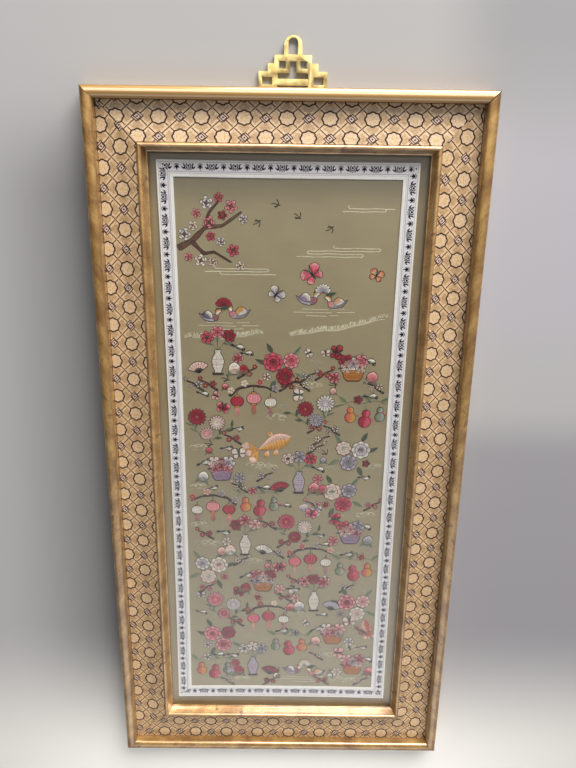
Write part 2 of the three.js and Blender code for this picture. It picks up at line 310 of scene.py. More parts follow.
def gilt_finish(name, gold, brown, chip_share):
    gilt = Finish(name, 0.4, 0.5, Coat_Weight=1.0, Coat_Roughness=0.14, Coat_IOR=1.75)
    run = gilt.place("run")
    from_mitre = gilt.axes(run)[2]
    mist = gilt.cloud(run, 26, detail=4, stretch=(2.2, 1, 1))
    streak = gilt.cloud(run, 3.2, detail=5, stretch=(14, 0.6, 1))
    grain = gilt.cloud(run, 0.7, detail=3)
    stain = gilt.cloud(run, 14, detail=5, stretch=(1.6, 0.7, 1), distortion=0.8)
    rub = stain.ease(0.6, 0.72)
    chips = gilt.cloud(run, 2.6, detail=6, distortion=0.4) + from_mitre.ease(16, 0) * 0.1
    sparse = gilt.cloud(run, 45, detail=2)
    chip = (chips + sparse * 0.5).ease(chip_share, chip_share + 0.02)
    gilt.paint(
        brown,
        (mist.ease(0.3, 0.7), gold),
        (streak.ease(0.42, 0.72) * 0.4, [c * 0.78 for c in brown]),
        (rub * 0.75, (96, 62, 36)),
        (chip, (214, 196, 164)),
    )
    gilt.feed("Metallic", (1 - chip) * (1 - rub * 0.4) * 0.55)
    gilt.feed("Roughness", 0.34 + grain * 0.14 + streak * 0.08 + rub * 0.12 + chip * 0.3)
    gilt.relief(grain * 0.35 + streak * 0.5 - chip * 1.2, 0.12)
    return gilt.material


outer_gilt = gilt_finish("outer_gilt", (196, 156, 92), (142, 103, 55), 1.02)

half_bead = OUTER_WIDTH / 2
bead = [
    (half_bead - half_bead * math.cos(a), SHOULDER + BEAD_RISE * math.sin(a) ** 0.86)
    for a in np.linspace(0, math.pi, 27)
]
outer_outline = [(0, 0), (0, FLANK), *bead, (OUTER_WIDTH, FLANK), (OUTER_WIDTH, 0)]
for side, (length, middle, turn) in SIDES.items():
    early, late = OUTER_JOINTS[side]
    rail = moulding(f"outer_moulding_{side}", outer_outline, length, early=early, late=late)
    measure_along(rail, length, lambda y, z: y + (z if y < 1 else 30 - z if y > OUTER_WIDTH - 1 else 24))
    uneven(rail, 0.1, SHOULDER + 1)
    settle(rail, middle, turn)
    if side == "top":
        cut_box(rail, (HANGER_X, TOP_EDGE - 5, 1.6), (HANGER_FOOT_WIDTH + 0.8, 12.8, 5.5))
    smooth(rail, 35)
    rail.data.materials.append(outer_gilt)
    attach(rail, "root")
    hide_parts(f"outer_rail_{side}")


# Brocade covers: silk brocade woven with eight-lobed roundels and interlocked lozenges on a lattice, glued
# over the hollow face of the four boards. Each strip is cut on its own, mitred at the corners and tucked
# under both mouldings, so the pattern meets at the mitres as it happens to fall.
BROCADE_START = 13.85
BROCADE_WIDTH = 43
COVE_LOW = 15
COVE_RADIUS = 147.65
CLOTH_THICKNESS = 1.2
MOTIF_PITCH = 22.2
WARP_PITCH = 0.62
# Where one roundel falls on each strip: along it, in from its outer edge, and the pitch along and across.
CLOTH_PLACING = {
    "bottom": (-103, 31.1, 22.68, 22.6),
    "right": (357.5, 16.35, 22.45, 21.4),
    "top": (-90.2, 17.1, 23.3, 20.4),
    "left": (-162.6, 25.15, 22.48, 21.5),
}


def cove(away, below=0.0):
    """The height of the hollow face at a distance in from its outer edge."""
    return COVE_LOW - below + COVE_RADIUS - math.sqrt(COVE_RADIUS**2 - away**2)


def beside(amount):
    """How far a number is from the nearest whole one, from -0.5 to 0.5."""
    return amount - (amount + 0.5).floor()


def ribs(amount, pitch):
    """Threads side by side, as a wave between -1 and 1."""
    return (amount * (2 * math.pi / pitch)).sine()


def brocade_finish():
    silk = Finish("brocade", 0.42, Sheen_Weight=0.1, Sheen_Roughness=0.4)
    cloth = silk.place("cloth")
    along, across = silk.axes(cloth)[:2]
    drift = silk.cloud(cloth, 18, detail=2)
    along = along + (drift - 0.5) * 1.2
    first = (along + across) / (2 * MOTIF_PITCH)
    second = (along - across) / (2 * MOTIF_PITCH)

    s, t = beside(first), beside(second)
    du, dv = (s + t) * MOTIF_PITCH, (s - t) * MOTIF_PITCH
    radius = (du * du + dv * dv).root()
    rim = radius - abs((dv.angle_over(du) * 4).cosine())
    roundel = rim.under(7.3, 0.35)
    ring = abs(rim - 7.45).under(0.9, 0.28)

    slant = MOTIF_PITCH * math.sqrt(2)
    s, t = beside(first - 0.5) * slant, beside(second - 0.5) * slant
    upper = abs(s - 1.1).most(abs(t - 0.5))
    lower = abs(s + 1.1).most(abs(t + 0.5))
    lozenge = upper.least(lower).under(3.9, 0.25)
    frets = abs(upper - 3.6).least(abs(lower - 3.6)).under(0.52, 0.24)
    frets = frets.most(abs(s).most(abs(t)).under(0.9, 0.3))

    spacing = MOTIF_PITCH / math.sqrt(2)
    from_first, from_second = abs(beside(first * 2)) * spacing, abs(beside(second * 2)) * spacing
    broken = from_first.under(0.58, 0.22) * from_second.ease(1.1, 1.6)
    lattice = broken.most(from_second.under(0.58, 0.22)) * (1 - roundel) * (1 - lozenge)

    speckle = silk.cloud(cloth, 1.5, detail=2)
    grain = silk.cloud(cloth, 2.6, detail=2)
    worn = silk.cloud(cloth, 38, detail=3)
    heart = (from_first.least(from_second) + (grain - 0.5) * 3.4).ease(2.3, 3.5)
    yolk = (rim + (grain - 0.5) * 6).under(2.6, 2.0) * (speckle.ease(0.35, 0.6))
    figure = ring.most(frets).most(lattice)
    silk.paint(
        (222, 188, 146),
        (heart * (0.5 + speckle * 0.5), (168, 132, 86)),
        (roundel, silk.shade(yolk, (218, 186, 152), (212, 180, 104))),
        (lozenge, (212, 184, 168)),
        ((speckle - 0.45).ease(0.0, 0.14) * 0.4, (146, 110, 74)),
        ((grain - 0.52).ease(0.0, 0.12) * 0.22, (232, 206, 176)),
        (worn.ease(0.5, 0.75) * 0.25, (150, 116, 80)),
        (figure * 0.97, (38, 20, 14)),
    )
    warp = ribs(along, WARP_PITCH) * ribs(across, WARP_PITCH)
    silk.feed("Roughness", 0.36 + speckle * 0.16 + figure * 0.2)
    silk.feed("Specular IOR Level", 0.45 - figure * 0.35)
    silk.relief(warp * 0.22 + speckle * 0.5 + figure * 0.5 + lozenge * 0.3 - roundel * 0.2, 0.16)
    return silk.material


brocade = brocade_finish()

steps = np.linspace(0, BROCADE_WIDTH, 23)
under_face = [(BROCADE_START + away, cove(away, CLOTH_THICKNESS)) for away in steps]
swells = [0.4 * math.exp(-(((away - 35) / 6) ** 2)) for away in steps]
upper_face = [(BROCADE_START + away, cove(away) + swell) for away, swell in zip(steps, swells)]
for side, (length, middle, turn) in SIDES.items():
    cover = moulding(f"brocade_cover_{side}", under_face + upper_face[::-1], length, cuts=60)
    start_u, start_v, pitch_u, pitch_v = CLOTH_PLACING[side]
    points = points_of(cover)
    u = (points[:, 0] - start_u) * MOTIF_PITCH / pitch_u
    v = (points[:, 1] - BROCADE_START - start_v) * MOTIF_PITCH / pitch_v
    mark(cover, "cloth", np.column_stack([u, v, points[:, 2]]))
    uneven(cover, 0.06, 0)
    settle(cover, middle, turn)
    smooth(cover, 40)
    cover.data.materials.append(brocade)
    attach(cover, "root")
    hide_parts(f"brocade_{side}")


# Inner moulding: a slim gilt slip with a round bead and a face that slants down to the glass, mitred round
# the opening. Its lip holds the glass, the silk and the backing in the rebate behind it.
SLIP_START = 57.2
SIGHT_EDGE = 67.4
SLIP_TOP = 24.4
SLIP_BEAD = 2.7
SLANT_TOP = (62.75, 20.4)
LIP_UNDERSIDE = 10.95
REBATE_EDGE = 62.2

inner_gilt = gilt_finish("inner_gilt", (204, 163, 104), (156, 114, 66), 1.06)

slip_bead = [
    (SLIP_START + SLIP_BEAD * (1 + math.cos(a)), SLIP_TOP - SLIP_BEAD * (1 - math.sin(a)))
    for a in np.linspace(0, math.pi, 17)
]
lip_steps = ((0.2, 0), (0, 0.9), (0.3, 1.5), (1.2, 1.8), (1.6, 2.6))
lip = [(SIGHT_EDGE - back, LIP_UNDERSIDE + up) for back, up in lip_steps]
slip_outline = [(SLIP_START, 0), (REBATE_EDGE, 0), (REBATE_EDGE, LIP_UNDERSIDE), *lip, SLANT_TOP, *slip_bead]
for side, (length, middle, turn) in SIDES.items():
    slip = moulding(f"inner_moulding_{side}", slip_outline, length, early=0.2, late=0.2)
    measure_along(slip, length, lambda y, z: y * 0.6 + z)
    uneven(slip, 0.07, 20)
    settle(slip, middle, turn)
    smooth(slip, 32)
    slip.data.materials.append(inner_gilt)
    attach(slip, "root")
    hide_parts(f"inner_rail_{side}")


# Silk mount: a card covered with the same olive silk, its edges turned over, which shows as a margin between
# the gilt slip and the ribbon. It lies on the hardboard.
MOUNT_SIZE = (324.9, 774.9)
MOUNT_LOW = 4.05
MOUNT_THICKNESS = 1.5


def silk_finish(name, colour, shadow):
    """Ribbed silk, darker near the top of the frame, where the top rail keeps the window's light off it."""
    silk = Finish(name, 0.4, Sheen_Weight=0.2, Sheen_Roughness=0.4, Specular_IOR_Level=0.9)
    place = silk.place()
    y = silk.axes(place)[1]
    rib = silk.cloud(place, 0.34, detail=1, stretch=(26, 1, 1))
    slub = silk.cloud(place, 0.9, detail=3, stretch=(22, 1, 1))
    mist = silk.cloud(place, 70, detail=3)
    dust = silk.cloud(place, 0.5, detail=2)
    silk.paint(
        shadow,
        (rib * 0.5 + slub * 0.5, colour),
        (mist.ease(0.35, 0.75) * 0.22, [c * 1.1 for c in colour]),
        (y.ease(290, 332) * 0.85, [c * 0.84 for c in shadow]),
    )
    silk.feed("Roughness", 0.36 + slub * 0.14 + dust * 0.06)
    silk.relief(rib * 0.5 + slub * 0.6, 0.14)
    return silk.material


def cloth_sheet(name, size, middle, low, thickness, cuts, lift):
    """A flat cloth on its board: a grid with its folds lifted by lift(x, y), given a thickness downwards."""
    deselect_all()
    bpy.ops.mesh.primitive_grid_add(x_subdivisions=cuts[0], y_subdivisions=cuts[1], size=1)
    sheet = bpy.context.object
    sheet.name = sheet.data.name = name
    points = points_of(sheet) * MM
    x, y = points[:, 0] * size[0], points[:, 1] * size[1]
    z = low + thickness + lift(x, y)
    put_points(sheet, np.stack([x + middle[0], y + middle[1] + CENTRE_Y, z], 1))
    back = sheet.modifiers.new("thickness", "SOLIDIFY")
    back.thickness = thickness * MM
    back.offset = -1
    bpy.ops.object.modifier_apply(modifier=back.name)
    smooth(sheet, 40)
    return sheet


mount_silk = silk_finish("mount_silk", (166, 146, 106), (136, 116, 80))
mount = cloth_sheet(
    "silk_covered_mount", MOUNT_SIZE, (0, 0), MOUNT_LOW, MOUNT_THICKNESS - 0.1, (40, 90),
    lambda x, y: 0.06 * np.sin(x / 23 + y / 61) * np.sin(y / 37),
)
mount.data.materials.append(mount_silk)
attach(mount, "root")
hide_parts("silk_mount")


# Embroidered silk: one piece of olive silk, drawn tight and pasted down at its edges under the ribbon. The
# stitches pull it into shallow puckers.
BORDER_SIZE = (296.5, 745)
BORDER_MIDDLE = (-1, 2)
SILK_SIZE = (292.5, 741)
SILK_LOW = 5.9
SILK_THICKNESS = 1.0
SILK_FACE = SILK_LOW + SILK_THICKNESS


def puckers(x, y):
    """The silk's rise and fall, least at its pasted edges."""
    from_side, from_end = SILK_SIZE[0] / 2 - np.abs(x), SILK_SIZE[1] / 2 - np.abs(y)
    edge = np.clip(from_side / 40, 0, 1) * np.clip(from_end / 60, 0, 1)
    long_folds = np.sin(x / 19 + 1.7 * np.sin(y / 83)) * np.sin(y / 140 + 0.6)
    cross_folds = np.sin((x * 0.8 + y) / 17 + 1.1 * np.sin(x / 41)) * np.sin(y / 71 + x / 90)
    creases = np.sin((x - y * 0.7) / 9 + 2 * np.sin(y / 37) + x / 23) * np.sin(y / 33 + 1.3)
    return edge * (0.17 * long_folds + 0.13 * cross_folds + 0.07 * (creases * np.sin(x / 47 + 0.8)))


embroidered_silk = silk_finish("embroidered_silk", (166, 152, 117), (136, 124, 92))
silk = cloth_sheet(
    "embroidered_silk_ground", SILK_SIZE, BORDER_MIDDLE, SILK_LOW, SILK_THICKNESS, (70, 160), puckers
)
silk.data.materials.append(embroidered_silk)
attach(silk, "root")
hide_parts("embroidered_silk")


# Embroidery: untwisted silk floss in satin and long-and-short stitch, each shape edged with fine dark back
# stitch, and couched cream lines for mist, water and grass. Every stitch is a low ridge of floss that lies
# on the silk and over the stitches worked before it.
FLOSS = {
    "crimson": (178, 34, 60),
    "ruby": (146, 22, 46),
    "rose": (222, 92, 116),
    "pink": (238, 160, 164),
    "blush": (246, 206, 194),
    "peach": (240, 178, 134),
    "coral": (226, 112, 88),
    "lilac": (196, 184, 200),
    "mauve": (158, 132, 162),
    "grey": (150, 146, 156),
    "slate": (92, 92, 108),
    "white": (240, 232, 220),
    "cream": (242, 234, 208),
    "gold": (224, 166, 82),
    "amber": (190, 120, 50),
    "brown": (98, 56, 44),
    "bark": (70, 44, 42),
    "ink": (22, 15, 20),
    "sage": (132, 142, 112),
    "moss": (84, 98, 72),
    "stone": (176, 178, 168),
}
SATIN_PITCH = 0.56
SATIN_WIDTH = 0.68
SHORTEST_STITCH = 0.25
STITCH_SINK = 0.12


def placed(points, x=0.0, y=0.0, turn=0.0, size=1.0, flip=1):
    """A drawn shape set down at a place: scaled, mirrored across its X axis where flip is -1, and turned."""
    points = np.asarray(points, float) * (size, size * flip)
    cos, sin = math.cos(turn), math.sin(turn)
    return points @ ((cos, sin), (-sin, cos)) + (x, y)


def blade(length, width, swell=0.5):
    """A petal or leaf that starts at the origin and points along X, widest at swell of its length."""
    along = np.linspace(0, 1, 12)
    half = width / 2 * np.sin(math.pi * along ** (math.log(0.5) / math.log(swell))) ** 0.85
    upper = np.column_stack([along * length, half])
    return np.vstack([upper, upper[-2:0:-1] * (1, -1)])


def heading(shape, tip=11):
    """The way that a blade points once it is placed."""
    return math.atan2(*(shape[tip] - shape[0])[::-1])


def disc(radius, squash=1.0, count=18):
    angles = np.linspace(0, 2 * math.pi, count, endpoint=False)
    return np.column_stack([radius * np.cos(angles), radius * squash * np.sin(angles)])


def arc(across, up, low, high, count, x=0.0, y=0.0):
    """Points along part of an ellipse, from the angle low to the angle high."""
    return np.array([(x + across * math.cos(a), y + up * math.sin(a)) for a in np.linspace(low, high, count)])


def ridge_plan(start, end, width):
    """Where the six points of each ridge lie from above: left, right and crest at its start and its end."""
    reach = end - start
    length = np.maximum(np.hypot(*reach.T), 1e-6)[:, None]
    reach = reach / length
    aside = np.column_stack([-reach[:, 1], reach[:, 0]]) * width / 2
    inset = reach * np.minimum(0.25 * length, 0.3)
    return np.stack([start + aside, start - aside, start + inset, end + aside, end - aside, end - inset], 1)


def ridges(name, plan, feet, rise):
    """One piece of many closed ridges: feet are the heights of the points, and the crests stand higher."""
    heights = np.array(feet)
    heights[:, [2, 5]] += rise
    points = np.concatenate([plan, heights[..., None]], 2).reshape(-1, 3) * MM
    ridge = [(0, 2, 5, 3), (1, 4, 5, 2), (0, 1, 2), (3, 5, 4), (0, 3, 4, 1)]
    faces = [tuple(6 * n + k for k in face) for n in range(len(plan)) for face in ridge]
    mesh = bpy.data.meshes.new(name)
    mesh.from_pydata(points, [], faces)
    piece = bpy.data.objects.new(name, mesh)
    bpy.context.scene.collection.objects.link(piece)
    smooth(piece, 105)
    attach(piece, "root")
    return piece


class Needlework:
    """Stitches worked one after another, each with its ends, its width, its height and its floss."""

    def __init__(self, seed):
        self.chance = np.random.default_rng(seed)
        self.stitches, self.colours = [], []
        self.begin()

    def begin(self, x=0.0, y=0.0, scale=1.0):
        """Starts a motif that is drawn about its own origin, at a place on the silk and a scale."""
        self.origin, self.scale, self.lift = np.array((x, y)), scale, 0.0

    def stitch(self, start, end, floss, width=0.5, rise=0.26):
        ends = [self.origin + np.asarray(point) * self.scale for point in (start, end)]
        self.stitches.append((*ends[0], *ends[1], width, rise, self.lift))
        shade = 1 + 0.09 * self.chance.standard_normal()
        self.colours.append([min(c * shade, 0.9) for c in tint(*FLOSS[floss])[:3]] + [1.0])

    def satin(self, outline, slant, floss, far=None, share=0.5):
        """Fills an outline with stitches side by side at an angle; far is the floss of their further part."""
        self.lift = min(self.lift + 0.02, 0.5)
        pitch, shortest = SATIN_PITCH / self.scale, SHORTEST_STITCH / self.scale
        ahead = np.array((math.cos(slant), math.sin(slant)))
        aside = np.array((-ahead[1], ahead[0]))
        turned = np.column_stack([outline @ ahead, outline @ aside])
        onward = np.roll(turned, -1, axis=0)
        for row in np.arange(turned[:, 1].min() + pitch / 2, turned[:, 1].max(), pitch):
            crosses = (turned[:, 1] > row) != (onward[:, 1] > row)
            a, b = turned[crosses], onward[crosses]
            hits = np.sort(a[:, 0] + (row - a[:, 1]) / (b[:, 1] - a[:, 1]) * (b[:, 0] - a[:, 0]))
            for low, high in zip(hits[::2], hits[1::2]):
                span = high - low
                if span < 0.4 / self.scale:
                    continue
                cuts = []
                if far:
                    cuts = [share + 0.13 * self.chance.uniform(-1, 1)]
                elif span * self.scale > 6:
                    count = math.ceil(span * self.scale / 5)
                    cuts = [(k + 0.3 * self.chance.uniform(-1, 1)) / count for k in range(1, count)]
                stops = [low, *[low + span * cut for cut in cuts], high]
                for k, (near, end) in enumerate(zip(stops, stops[1:])):
                    if end - near > shortest:
                        start = ahead * (near - (shortest if k else 0)) + aside * row
                        colour = far if far and k else floss
                        self.stitch(start, ahead * end + aside * row, colour, SATIN_WIDTH)

    def edge(self, outline, floss="ink", width=0.9, step=2.2, closed=True):
        """Back stitch round an outline."""
        width *= 1.6 if floss == "ink" else 1
        line = np.asarray(outline, float)
        if closed:
            line = np.vstack([line, line[:1]])
        lengths = np.concatenate([[0], np.cumsum(np.hypot(*np.diff(line, axis=0).T))])
        stops = np.linspace(0, lengths[-1], max(2, round(lengths[-1] * self.scale / step) + 1))
        at = np.column_stack([np.interp(stops, lengths, line[:, k]) for k in (0, 1)])
        self.lift = min(self.lift + 0.015, 0.55)
        for start, end in zip(at, at[1:]):
            reach = (end - start) * 0.06
            self.stitch(start - reach, end + reach, floss, width, 0.24)

    def line(self, points, floss, width, step=2.2):
        """Back stitch along an open line."""
        self.edge(points, floss, width, step, closed=False)

    def patch(self, outline, slant, floss, far=None, share=0.5, rim=0.66, rim_floss="ink"):
        """An outline filled and then edged."""
        self.satin(outline, slant, floss, far, share)
        self.edge(outline, rim_floss, rim)

    def knots(self, middles, floss, size=0.8):
        """Little seed knots, one crossed stitch each."""
        self.lift = min(self.lift + 0.05, 0.6)
        for middle in middles:
            slant = self.chance.uniform(0, math.pi)
            reach = np.array((math.cos(slant), math.sin(slant))) * size * 0.6 / self.scale
            self.stitch(middle - reach, middle + reach, floss, size, 0.42)

    def onto(self, name):
        """Makes the stitches into one piece that follows the silk's puckers."""
        rows = np.array(self.stitches)
        width, rise, lift = rows[:, 4:7].T[:, :, None]
        plan = ridge_plan(rows[:, 0:2], rows[:, 2:4], width)
        ground = SILK_FACE + puckers(plan[..., 0] - BORDER_MIDDLE[0], plan[..., 1] - BORDER_MIDDLE[1])
        piece = ridges(name, plan + (0, CENTRE_Y), ground - STITCH_SINK + lift, STITCH_SINK + rise)
        floss = piece.data.color_attributes.new("floss", "FLOAT_COLOR", "POINT")
        floss.data.foreach_set("color", np.repeat(np.array(self.colours), 6, axis=0).ravel())
        piece.data.materials.append(floss_silk)
        return piece


def floss_finish():
    floss = Finish("floss_silk", 0.4, Sheen_Weight=0.15, Sheen_Roughness=0.3, Specular_IOR_Level=0.35)
    source = floss.tree.nodes.new("ShaderNodeAttribute")
    source.attribute_name = "floss"
    strand = floss.cloud(floss.place(), 0.3, detail=2)
    floss.paint(source.outputs["Color"], (strand.ease(0.3, 0.8) * 0.18, (52, 38, 38)))
    floss.feed("Roughness", 0.34 + strand * 0.2)
    floss.relief(strand, 0.05)
    return floss.material


floss_silk = floss_finish()


def bloom(work, x, y, radius, count, near, far, turn=0.0, plump=0.66, edged=True):
    """A round flower: an outer and an inner ring of petals about a seeded heart."""
    for ring, (reach, many) in enumerate(((1, count), (0.62, max(count - 1, 4)))):
        if ring and radius < 3.4:
            break
        for i in range(many):
            angle = turn + 2 * math.pi * (i + 0.5 * ring) / many
            petal = placed(blade(reach * radius, radius * plump, 0.7), x, y, angle)
            work.satin(petal, angle, near, far, 0.52 if ring else 0.6)
            if edged:
                work.line(petal[4:20], "ink", 0.57)
    if radius > 2.8:
        work.satin(disc(radius * 0.34, count=12) + (x, y), turn, "ink")
    spread = min(radius * 0.2, 1.5)
    work.knots(arc(spread, spread, 0, 5.2, 5, x, y), "gold", 0.75)


def daisy_head(work, x, y, radius, near, far):
    """A chrysanthemum: three rings of narrow petals."""
    for ring, (reach, many) in enumerate(((1, 15), (0.74, 12), (0.46, 8))):
        colours = (near, far) if ring < 2 else (far, near)
        for i in range(many):
            angle = 2 * math.pi * (i + 0.5 * ring) / many
            petal = placed(blade(reach * radius, radius * 0.3, 0.66), x, y, angle)
            work.satin(petal, angle, *colours)
            work.line(petal[5:18], "ink", 0.53)
    work.knots(np.array([(0, 0), (0.8, 0), (-0.6, 0.5), (-0.3, -0.7)]) + (x, y), "gold")


def leaf(work, x, y, length, width, turn, floss="sage"):
    """A leaf in two slanted halves, with its midrib."""
    shape = blade(length, width, 0.42)
    for half, lean in ((shape[:12], 0.62), (np.vstack([shape[11:], shape[:1]]), -0.62)):
        work.satin(placed(half, x, y, turn), turn + lean, floss)
    work.line(placed([(0, 0), (length, 0)], x, y, turn), "ink", 0.62)


def spray(work, x, y, length, turn, leaves, floss, bend):
    """A bent stem with leaves to both sides."""
    t = np.linspace(0, 1, 8)
    stem = placed(np.column_stack([t * length, bend * length * t * t]), x, y, turn)
    work.line(stem, "moss", 0.71)
    for k in range(leaves):
        place = stem[min(1 + round(k * 6 / max(leaves - 1, 1)), 7)]
        side = 1 if k % 2 else -1
        leaf(work, *place, length * 0.3, length * 0.12, turn + side * 0.75 + bend * k / leaves, floss)


def butterfly(work, x, y, size, turn, wing, rim):
    for side in (1, -1):
        for reach, wide, lean in ((8.2, 6.2, 0.85), (6.0, 5.0, 2.05)):
            angle = turn + side * lean
            half = placed(blade(reach * size, wide * size, 0.7), x, y, angle)
            work.patch(half, angle, wing, rim, 0.62, 0.62)
            work.knots(placed([(reach * size * 0.72, 0)], x, y, angle), "gold", size)
    trunk = placed(blade(7.0 * size, 1.5 * size) - (3.2 * size, 0), x, y, turn)
    work.satin(trunk, turn + 1.4, "ink")
    for side in (1, -1):
        feeler = [(3.4, 0), (5.2, 0.9 * side), (6.6, 2.2 * side)]
        work.line(placed(feeler, x, y, turn, size), "ink", 0.44)


def carp(work, turn, belly, back, flip, scales):
    """A fish: tail and fins first, then the body with its rows of scales, then the head."""
    def at(points):
        return placed(points, turn=turn, flip=flip)

    for lean, reach, wide in ((2.5, 9.5, 4.4), (3.14, 8.0, 3.4), (-2.5, 9.5, 4.4)):
        tail = at(placed(blade(reach, wide, 0.7), -7.5, 0, lean))
        work.patch(tail, heading(tail), back, belly, rim=0.57, rim_floss=scales)
    for fx, fy, lean in ((2.2, 3.0, 2.1), (1.0, -3.0, -2.2), (-3.2, -2.4, -2.4)):
        fin = at(placed(blade(4.6, 2.6, 0.65), fx, fy, lean))
        work.patch(fin, heading(fin), belly, back, rim=0.53, rim_floss=scales)
    body = at(blade(19, 8.6, 0.62) - (9, 0))
    work.patch(body, heading(body) + 1.25 * flip, back, belly, 0.55, 0.7, scales)
    for column in np.arange(-6.4, 4.2, 1.45):
        half = 4.0 * math.sin(math.pi * ((column + 9) / 19) ** 1.45) ** 0.85
        row = np.linspace(-half * 0.8, half * 0.8, 6)
        work.line(at([(column + 0.9 * (1 - (v / max(half, 0.1)) ** 2), v) for v in row]), scales, 0.66)
    work.line(at(arc(1.1, 3.3, -1.2, 1.2, 7, 5.2)), "brown", 0.58)
    work.knots(at([(7.4, 1.1)]), "ink", 1.1)


def lantern(work, x, y, size, silk, rib, tassel):
    """A ribbed round lantern hanging from its hook, with a cap at each end and a long tassel."""
    shape = disc(4.6 * size, 0.86) + (x, y)
    work.line([(x, y + 7.6 * size), (x, y + 4 * size)], "ink", 0.61)
    work.satin(shape, math.pi / 2, silk)
    for bulge in (-0.62, -0.22, 0.22, 0.62):
        work.line(arc(bulge * 4.6 * size, 3.9 * size, -1.4, 1.4, 5, x, y), rib, 0.66)
    work.edge(shape, "ink", 0.62)
    for end in (1, -1):
        cap = np.array([(-1.9, 3.3), (1.9, 3.3), (1.5, 4.6), (-1.5, 4.6)]) * (size, size * end) + (x, y)
        work.patch(cap, 0.0, "gold", rim=0.57)
    for k in range(-3, 4):
        end = (x + 0.42 * k * size * 1.5, y - (11.6 - 0.25 * k * k) * size)
        work.stitch((x + 0.25 * k * size, y - 4.6 * size), end, tassel if k % 2 else rib, 0.4)


def fruit(work, x, y, radius, near, far, turn=1.57):
    """A peach: a round fruit blushed towards its tip, with its cleft and two leaves."""
    leaf(work, x, y, radius * 1.9, radius * 0.8, turn + math.pi - 0.7)
    leaf(work, x, y, radius * 1.8, radius * 0.8, turn + math.pi + 0.8)
    angles = np.linspace(0, 2 * math.pi, 20, endpoint=False)
    swell = radius * (1 + 0.16 * np.exp(-((np.minimum(angles, 2 * math.pi - angles) / 0.35) ** 2)))
    shape = placed(np.column_stack([swell * np.cos(angles), swell * np.sin(angles)]), x, y, turn)
    work.patch(shape, turn, near, far, 0.55)
    cleft = [(-0.9 * radius, 0.1 * radius), (0, 0.34 * radius), (1.0 * radius, 0.1 * radius)]
    work.line(placed(cleft, x, y, turn), far, 0.51)


def gourd(work, x, y, size, turn, near, far):
    """A bottle gourd with a sash round its waist."""
    def at(points):
        return placed(points, x, y, turn, size)

    for place, radius in (((-2.6, 0), 3.6), ((2.6, 0), 2.3)):
        work.patch(at(disc(radius) + place), turn + 1.57, near, far)
    work.line(at([(0.6, -2.2), (0.9, 0), (0.6, 2.2)]), "crimson", 1.02)
    work.line(at([(4.8, 0), (6.2, 0.68), (7.2, 1.4)]), "moss", 0.4)
    for lean in (-0.5, 0.4):
        work.line(at([(0.6, -2.2), (-0.8, -4.6 + lean), (-1.6 + lean, -6.4)]), "rose", 0.58)


def vase(work, size, clay, band, flowers):
    """A waisted vase on a low stand with a handful of flowers."""
    mouth = 6 * size
    for k, colours in enumerate(flowers):
        lean = (k - (len(flowers) - 1) / 2) * 0.62
        reach = (10.5 + work.chance.uniform(-1.2, 1.2)) * size
        x, y = reach * math.sin(lean), mouth + reach * math.cos(lean)
        work.line([(0, 6.5 * size), (x, y)], "moss", 0.68)
        leaf(work, x / 2, (mouth + y) / 2, 4.6 * size, 1.9 * size, 1.57 - lean * 2.2)
        bloom(work, x, y, 3.9 * size, 6, *colours, turn=work.chance.uniform(0, 1))
    half = [(1.9, 7.0), (1.3, 5.4), (2.6, 3.4), (3.5, 0.8), (3.0, -2.6), (1.9, -5.0), (2.3, -6.2)]
    work.patch(np.array(half + [(-a, b) for a, b in half[::-1]]) * size, 0.0, clay, rim=0.75)
    for level, reach in ((1.6, 3.3), (-1.4, 3.2)):
        work.line(np.array([(-reach, level), (0, level - 0.4), (reach, level)]) * size, band, 0.85)
    work.knots(np.array([(-1.6, 0.1), (0, -0.3), (1.6, 0.1)]) * size, band, 0.9)
    work.satin(np.array([(-3.4, -6.3), (3.4, -6.3), (2.8, -7.6), (-2.8, -7.6)]) * size, 0.0, "bark")


def basket(work, size, cane, flowers):
    """A handled cane basket heaped with flowers."""
    work.line(arc(6.6 * size, 9.5 * size, 0.1, 3.04, 16), "bark", 0.94)
    heap = []
    for k in range(len(flowers)):
        angle = math.pi * (k + 0.5) / len(flowers)
        reach = (3.2 + 2.6 * (k % 2)) * size
        heap.append((1.25 * reach * math.cos(angle), 1.5 * size + reach * math.sin(angle), angle))
        leaf(work, *heap[k][:2], 5.4 * size, 2.2 * size, angle + 0.5, "sage" if k % 2 else "moss")
    for (x, y, angle), (near, far, radius) in zip(heap, flowers):
        bloom(work, x, y, radius * size, 6, near, far, turn=angle)
    body = np.array([(-6.6, 0.6), (6.6, 0.6), (5.4, -4.2), (3.6, -6.0), (-3.6, -6.0), (-5.4, -4.2)]) * size
    work.satin(body, math.pi / 2, cane)
    for level in (-0.9, -2.4, -3.9):
        reach = (6.2 + level * 0.28) * size
        work.line([(-reach, level * size), (reach, level * size)], "bark", 0.71, 1.1)
    work.edge(body, "ink", 0.75)


